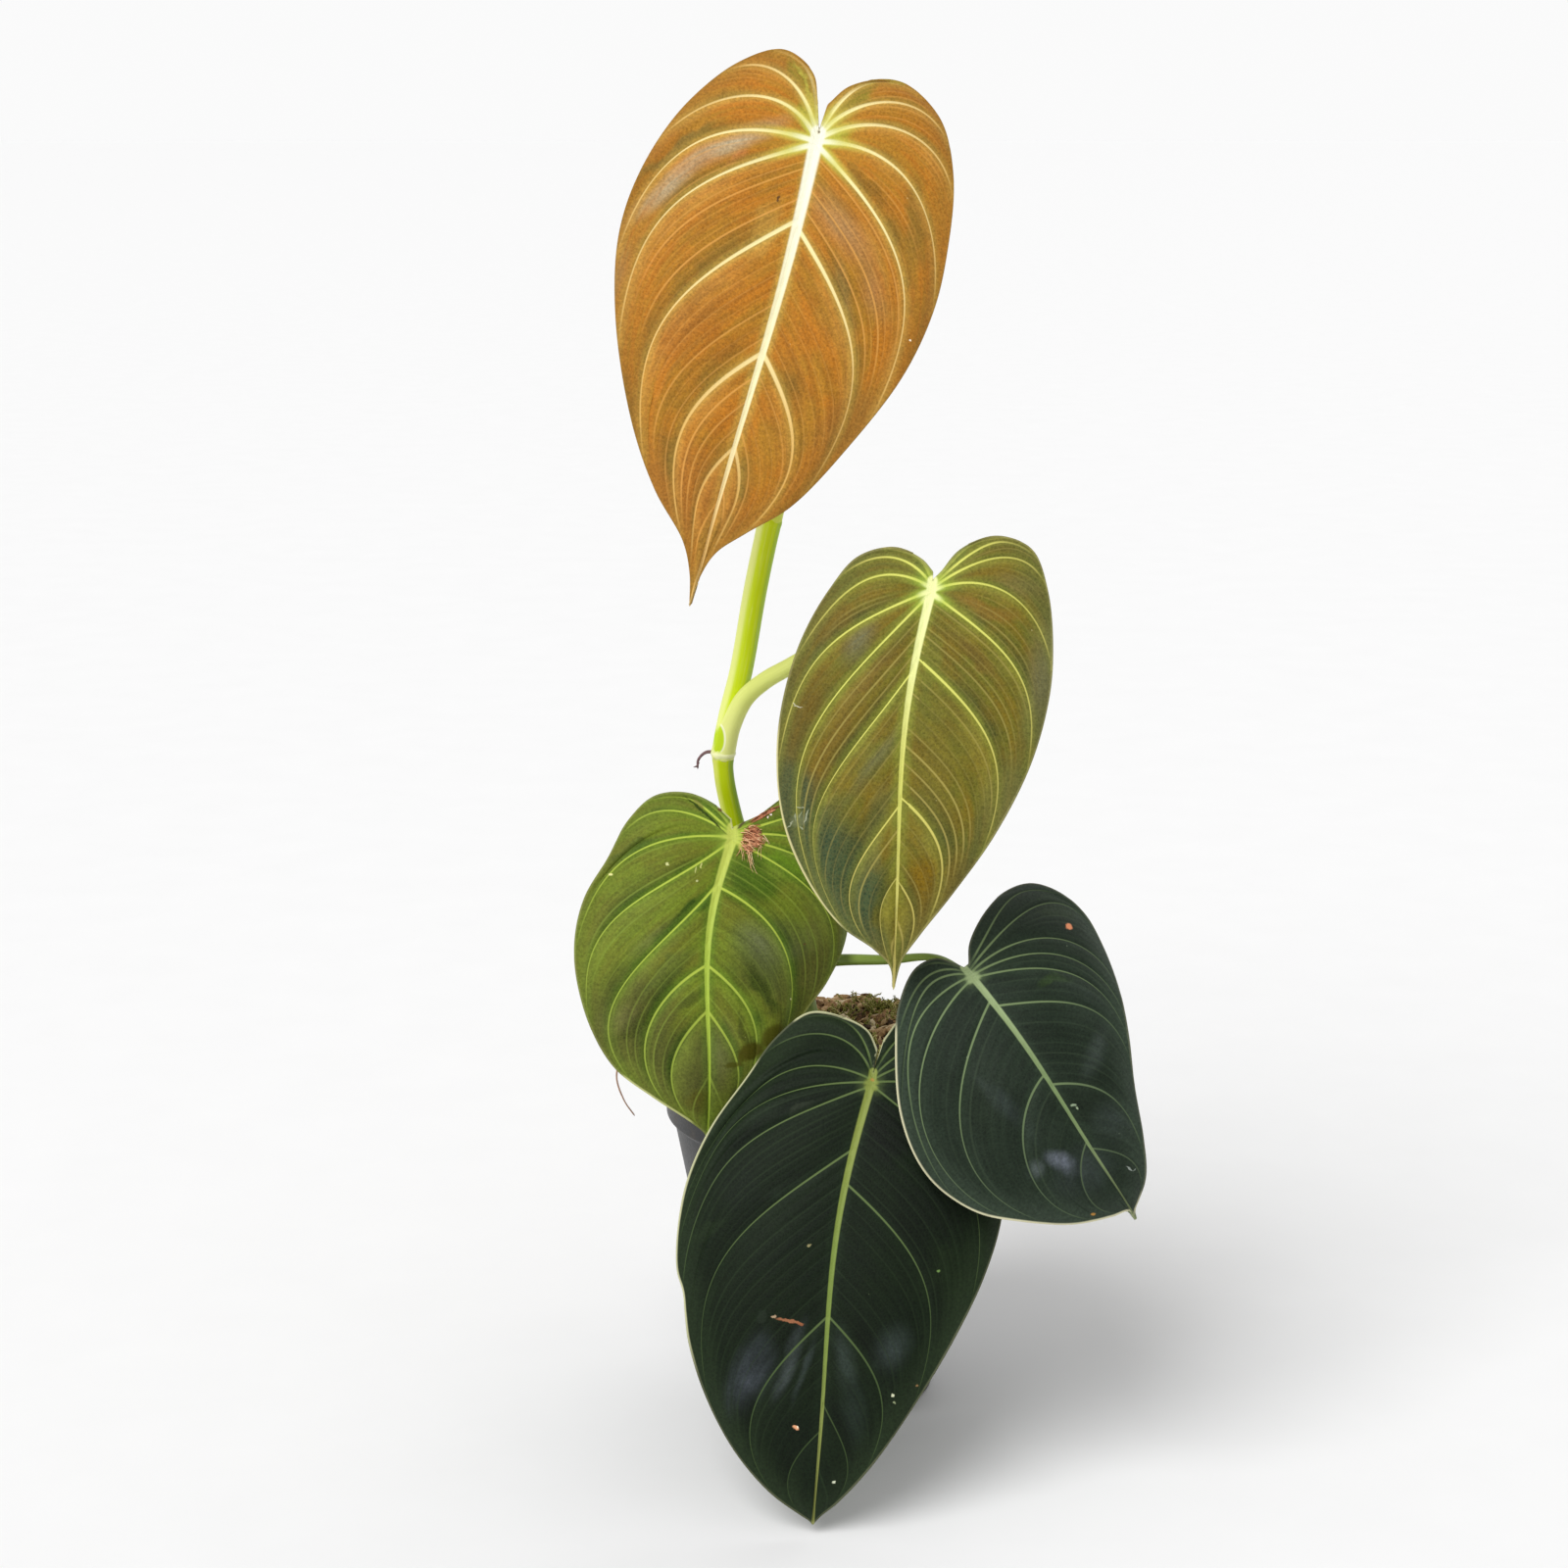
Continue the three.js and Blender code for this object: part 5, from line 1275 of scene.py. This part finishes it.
def build_pot():
    points, faces = lathe(rounded(POT_SECTION, POT["corner"]), POT["sides"])
    piece = make_mesh("nursery_pot", points, faces, [pot_look()])
    radius, half = POT["drain_radius"], POT["drill_half"]
    section = np.array([(0, -half), (radius, -half), (radius, half), (0, half)], float)
    drill, drill_faces = lathe(section, POT["drill_sides"])
    drills = []
    for k in range(POT["drains"]):
        angle = 2 * np.pi * (k + 0.5) / POT["drains"]
        across, back = POT["drain_circle"] * math.cos(angle), POT["drain_circle"] * math.sin(angle)
        drills.append((drill + (across, back, POT["drain_middle"]), drill_faces, drill))
    points, faces, _ = join(drills)
    cut_holes(piece, make_mesh("drill", points, faces, []))
    piece.data.set_sharp_from_angle(angle=CRISP_EDGE)
    place_piece(piece, "pot_black", "pot")


# Potting mix: soil, bark pieces, crumbs, fibres and moss on its crown
def crown_height(x, y):
    """Height of the soft lumpy top of the mix."""
    radius = math.hypot(x, y)
    top = np.array(MIX_TOP[::-1])
    plain = np.interp(radius, top[:, 0], top[:, 1])
    lumps = noise.fractal(Vector((x / MIX["lump_size"], y / MIX["lump_size"], 0.3)), 0.9, 2.0, 4)
    return plain + MIX["lumps"] * lumps * (1 - smooth(radius, 38, 42.5))


def on_crown(x, y, lift=0.0):
    return np.array([x, y, crown_height(x, y) + lift])


def soil_mesh():
    """The soil as one closed mesh, with a tone for each point."""
    angle = np.linspace(0, 2 * np.pi, MIX["sides"], endpoint=False)
    rows = [[(r * math.cos(a), r * math.sin(a), z) for a in angle] for r, z in MIX_SECTION[1:-1]]
    for r in np.linspace(MIX_TOP[0][0], MIX["last_ring"], MIX["rings"]):
        rows.append([on_crown(r * math.cos(a), r * math.sin(a)) for a in angle])
    points = np.concatenate([np.array(rows).reshape(-1, 3), [(0, 0, MIX_SECTION[0][1]), on_crown(0, 0)]])
    tones = np.array([0.25 + 0.2 * noise.noise(Vector(p) / 5) for p in points])
    return points, capped_faces(len(rows), MIX["sides"]), tones


def off_stem(x, y):
    return math.hypot(x - STEM_FOOT[0], y - STEM_FOOT[1])


def lie_of(x, y):
    """A frame that lies on the mix at a place: two directions along it and one out of it."""
    step = 1.5
    slope_x = (crown_height(x + step, y) - crown_height(x - step, y)) / (2 * step)
    slope_y = (crown_height(x, y + step) - crown_height(x, y - step)) / (2 * step)
    out = unit(np.array([-slope_x, -slope_y, 1.0]))
    one = unit(np.cross(out, (0.3, 1.0, 0.1)))
    return one, np.cross(out, one), out


def scattered(luck, count, reach, keep_off):
    """Places on the mix, even over its disc and clear of the stem."""
    places = []
    while len(places) < count:
        radius, angle = reach * math.sqrt(luck.random()), luck.uniform(0, 2 * math.pi)
        x, y = radius * math.cos(angle), radius * math.sin(angle)
        if off_stem(x, y) > keep_off:
            places.append((x, y))
    return places


def ball(level):
    """Points and faces of a ball of triangles."""
    shape = bmesh.new()
    bmesh.ops.create_icosphere(shape, subdivisions=level, radius=1)
    points = np.array([v.co for v in shape.verts])
    faces = [[v.index for v in f.verts] for f in shape.faces]
    shape.free()
    return points, faces


def lump_mesh(seed, count, level, sizes, lift, reach, keep_off):
    """Many small broken lumps that lie on the mix, with a tone for each."""
    luck = random.Random(seed)
    draw = np.random.default_rng(seed)
    shape, shape_faces = ball(level)
    parts = []
    for x, y in scattered(luck, count, reach, keep_off):
        one, two, out = lie_of(x, y)
        turn = luck.uniform(0, 2 * math.pi)
        tilt = luck.gauss(0, 0.35)
        a = one * math.cos(turn) + two * math.sin(turn)
        b = np.cross(out, a)
        a, c = a * math.cos(tilt) + out * math.sin(tilt), out * math.cos(tilt) - a * math.sin(tilt)
        long, wide, thick = (luck.uniform(*size) for size in sizes)
        rough = shape * (1 + draw.normal(0, 0.16, (len(shape), 1)))
        rough = np.sign(rough) * np.abs(rough) ** 0.8
        local = rough[:, :1] * a * long + rough[:, 1:2] * b * wide + rough[:, 2:] * c * thick
        centre = on_crown(x, y) + out * thick * lift
        parts.append((centre + local, shape_faces, np.full(len(shape), luck.random())))
    return join(parts)


def moss_shoot(luck, x, y):
    """The thin stem and the spiral of small pointed leaves of one moss shoot, each with its tone."""
    one, two, out = lie_of(x, y)
    lean = luck.uniform(0.15, 1.1)
    turn = luck.uniform(0, 2 * math.pi)
    side = one * math.cos(turn) + two * math.sin(turn)
    length = luck.uniform(2.2, 4.4)
    t = np.linspace(0, 1, 5)[:, None]
    foot = on_crown(x, y, -0.6)
    axis = foot + out * length * t * math.cos(lean * 0.6) + side * length * t * t * math.sin(lean)
    shoot = Path(axis, 8)
    tone = luck.random()
    stem, stem_faces, _ = tube(shoot, lambda share, along, angle: SHOOT["stem"] + 0 * share, 5, 3, side)
    leaves = SHOOT["leaves"]
    share = np.linspace(0.05, 1, leaves)
    base = shoot.at(share)
    ahead = shoot.tangent(share)
    angle = np.arange(leaves) * SHOOT["turn"] + luck.uniform(0, 6)
    away = np.cos(angle)[:, None] * side + np.sin(angle)[:, None] * np.cross(out, side)
    away = away - ahead * np.sum(away * ahead, axis=1, keepdims=True)
    reach = (1.25 - 0.5 * share[:, None]) * luck.uniform(0.7, 1.1)
    tip = base + away * reach * 0.85 + ahead * reach * 0.75
    across = np.cross(ahead, away) * 0.3
    middle = base + (tip - base) * 0.35
    quad = np.stack([base, middle + across, middle - across, tip, middle + ahead * 0.14], axis=1)
    faces = []
    for b in range(0, 5 * leaves, 5):
        p, q, e, c = range(b + 1, b + 5)
        faces += [[b, p, e, q], [b, c, p], [p, c, e], [e, c, q], [q, c, b]]
    return [(stem, stem_faces, np.full(len(stem), 0.35 * tone)),
            (quad.reshape(-1, 3), faces, np.full(5 * leaves, 0.45 + 0.55 * tone))]


def moss_mesh(seed, patches):
    """Feathery moss shoots in patches, clear of the pot's rim and of the stem."""
    luck = random.Random(seed)
    parts = []
    for centre_x, centre_y, spread, count in patches:
        for _ in range(count):
            x, y = luck.gauss(centre_x, spread), luck.gauss(centre_y, spread)
            if math.hypot(x, y) <= LITTER_REACH and off_stem(x, y) >= MOSS_OFF_STEM:
                parts += moss_shoot(luck, x, y)
    return join(parts)


def fibre_mesh(seed, count, tone):
    """Coarse dry fibres that lie in loose curves on the mix."""
    luck = random.Random(seed)
    parts = []
    for x, y in scattered(luck, count, 36, 5):
        turn = luck.uniform(0, 2 * math.pi)
        line = []
        for _ in range(5):
            line.append(on_crown(x, y, luck.uniform(0.2, 1.8)))
            turn += luck.gauss(0, 0.7)
            x += 2.4 * math.cos(turn)
            y += 2.4 * math.sin(turn)
            if math.hypot(x, y) > LITTER_REACH:
                break
        if len(line) > 2:
            size = luck.uniform(0.12, 0.26)
            points, faces, _ = tube(
                Path(line, 8), lambda share, along, angle: size * (1 - 0.5 * share), 14, 5, (0.1, 0.2, 1)
            )
            parts.append((points, faces, np.full(len(points), tone)))
    return join(parts)


def ground_look(name, tones, rough=0.9, size=1.2):
    """Earthy stuff whose colour runs through tones by the tone of each piece of it and by noise."""
    m = Look(name)
    speckle = m.noise(m.position(1000.0), size, 4, 0.7)
    value = m.math("MULTIPLY_ADD", m.fade(speckle, 0.3, 0.7, -0.16, 0.16), 1.0, m.number("tone"))
    ramp = m.node("ValToRGB", {0: value})
    steps = ramp.color_ramp.elements
    tones = tones.split()
    for k, tone in enumerate(tones):
        place = k / (len(tones) - 1)
        step = steps[k] if k < 2 else steps.new(place)
        step.position = place
        step.color = (*colour(tone), 1)
    return m.finish(ramp.outputs["Color"], rough, m.bump(speckle, 0.6, 0.0004), Specular_IOR_Level=0.2)


def build_mix():
    earth = ground_look("damp_soil", "161008 3a2a1a 685036", 0.92, 0.9)
    bark = ground_look("bark_and_husk", "302010 785836 ae8a60 ccb088 dacaa6", 0.85, 1.6)
    green = ground_look("moss", "4a4e1a 848636 b4b25e d6ce8c", 0.8, 0.8)
    place_ground("potting_soil", soil_mesh(), earth, "potting_mix", "potting_mix")
    place_ground("bark_pieces", lump_mesh(**BARK), bark, "potting_mix")
    place_ground("mix_crumbs", lump_mesh(**CRUMBS), bark, "potting_mix")
    place_ground("mix_fibres", fibre_mesh(**FIBRES), bark, "potting_mix")
    place_ground("moss_shoots", moss_mesh(MOSS_SEED, MOSS_PATCHES), green, "potting_mix")


def build_hidden_roots():
    m = Look("pale_roots")
    streaks = m.noise(m.position(1000.0), 0.8, 4, 0.6)
    base = m.mix(m.fade(streaks, 0.3, 0.7), colour("ceb88c"), colour("a4845c"))
    m.finish(base, 0.8, m.bump(streaks, 0.4, 0.0003))
    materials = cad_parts["roots"].data.materials
    materials.clear()
    materials.append(m.material)


# Torn dry strip on the third leaf, in millimetres across and down its blade. Its fibres lie on the blade.
SCAR_STRIP = dict(start=(13.4, -11.8), end=(4.6, -5.2), width=0.9, count=24)
SCAR_FRAY = dict(start=[(4.2, -4.4), (2.0, 1.6)], end=[(7.2, -4.0), (8.8, -0.4), (4.8, 3.6)], count=120)
SCAR_WISPS = [((4.6, 2.8), (6.4, 7.8)), ((3.2, 3.0), (3.6, 5.4)), ((5.2, 2.6), (5.4, 6.4)),
              ((2.4, 2.0), (2.0, 4.4)), ((8.0, 0.6), (8.2, 4.6)), ((8.4, -2.4), (10.2, 0.6)),
              ((4.0, 3.0), (4.8, 6.8))]
SCAR_REACH = 24  # only this much of the blade is searched for the surface under the fibres


def on_blade(blade, leaf, places, lifts):
    """Points in the part's frame at places across and down a blade, lifted off its front."""
    points, spots = blade
    matrix = np.array(blade_frame(leaf)[1])
    height = (points - matrix[:3, 3]) @ matrix[:3, 2]
    near = np.flatnonzero(np.hypot(spots[:, 0] - places[0][0], spots[:, 1] - places[0][1]) < SCAR_REACH)
    found = []
    for (across, down), lift in zip(places, lifts):
        away = np.hypot(spots[near, 0] - across, spots[near, 1] - down)
        top = height[near[np.argsort(away)[:8]]].max()
        found.append(matrix[:3, :3] @ (across, -down, top + lift) + matrix[:3, 3])
    return np.array(found)


def build_scar(blade, leaf):
    luck = random.Random(61)
    parts = []

    def fibre(start, end, size, lift, tone, bend):
        start, end = np.array(start, float), np.array(end, float)
        side = np.array([start[1] - end[1], end[0] - start[0]])
        share = np.linspace(0, 1, 5)
        line = start + (end - start) * share[:, None] + side * (bend * np.sin(np.pi * share))[:, None]
        raised = lift * np.sin(np.pi * (0.15 + 0.75 * share)) - 0.04
        path = Path(on_blade(blade, leaf, line.tolist(), raised), 6)
        points, faces, _ = tube(path, lambda share, along, angle: size * (1 - 0.6 * share**2), 12, 5)
        parts.append((points, faces, np.full(len(points), tone)))

    strip = SCAR_STRIP
    start, end = np.array(strip["start"]), np.array(strip["end"])
    side = np.array([start[1] - end[1], end[0] - start[0]]) / np.linalg.norm(end - start)
    for _ in range(strip["count"]):
        off = side * luck.uniform(-0.5, 0.5) * strip["width"]
        low = luck.uniform(0, 0.65)
        high = min(1, low + luck.uniform(0.25, 0.6))
        fibre(start + (end - start) * low + off, start + (end - start) * high + off, luck.uniform(0.1, 0.2),
              luck.uniform(0.05, 0.25), luck.uniform(0.05, 0.5), luck.uniform(-0.06, 0.06))
    first, last = np.array(SCAR_FRAY["start"]), np.array(SCAR_FRAY["end"])
    for _ in range(SCAR_FRAY["count"]):
        share = luck.random()
        begin = first[0] + (first[1] - first[0]) * share
        end = [np.interp(share, [0, 0.5, 1], last[:, k]) for k in (0, 1)]
        low = luck.uniform(0, 0.7)
        high = min(1.02, low + luck.uniform(0.3, 0.75))
        begin, end = (begin + (np.array(end) - begin) * part + (luck.gauss(0, 0.5), luck.gauss(0, 0.5))
                      for part in (low, high))
        tone = 0.46 + 0.2 * (1 - abs(2 * share - 0.9)) + luck.uniform(-0.42, 0.26)
        fibre(begin, end, luck.uniform(0.08, 0.2), luck.uniform(0.1, 0.8), tone, luck.uniform(-0.25, 0.25))
    for begin, end in SCAR_WISPS:
        for _ in range(2):
            tip = (end[0] + luck.gauss(0, 0.5), end[1] + luck.gauss(0, 0.5))
            fibre(begin, tip, luck.uniform(0.06, 0.1), luck.uniform(0.1, 0.6), luck.uniform(0.5, 0.9),
                  luck.uniform(-0.1, 0.1))
    look = ground_look("dry_fibres", "603624 aa6c4c e09c76 eac496 f2e0b8", 0.8, 0.9)
    place_ground("torn_fibres", join(parts), look, "sheath_tan")


build_camera()
build_light()
build_stage()
blades = build_blades()
build_scar(blades[2], LEAVES[2])
build_stalks()
build_pot()
build_mix()
build_hidden_roots()
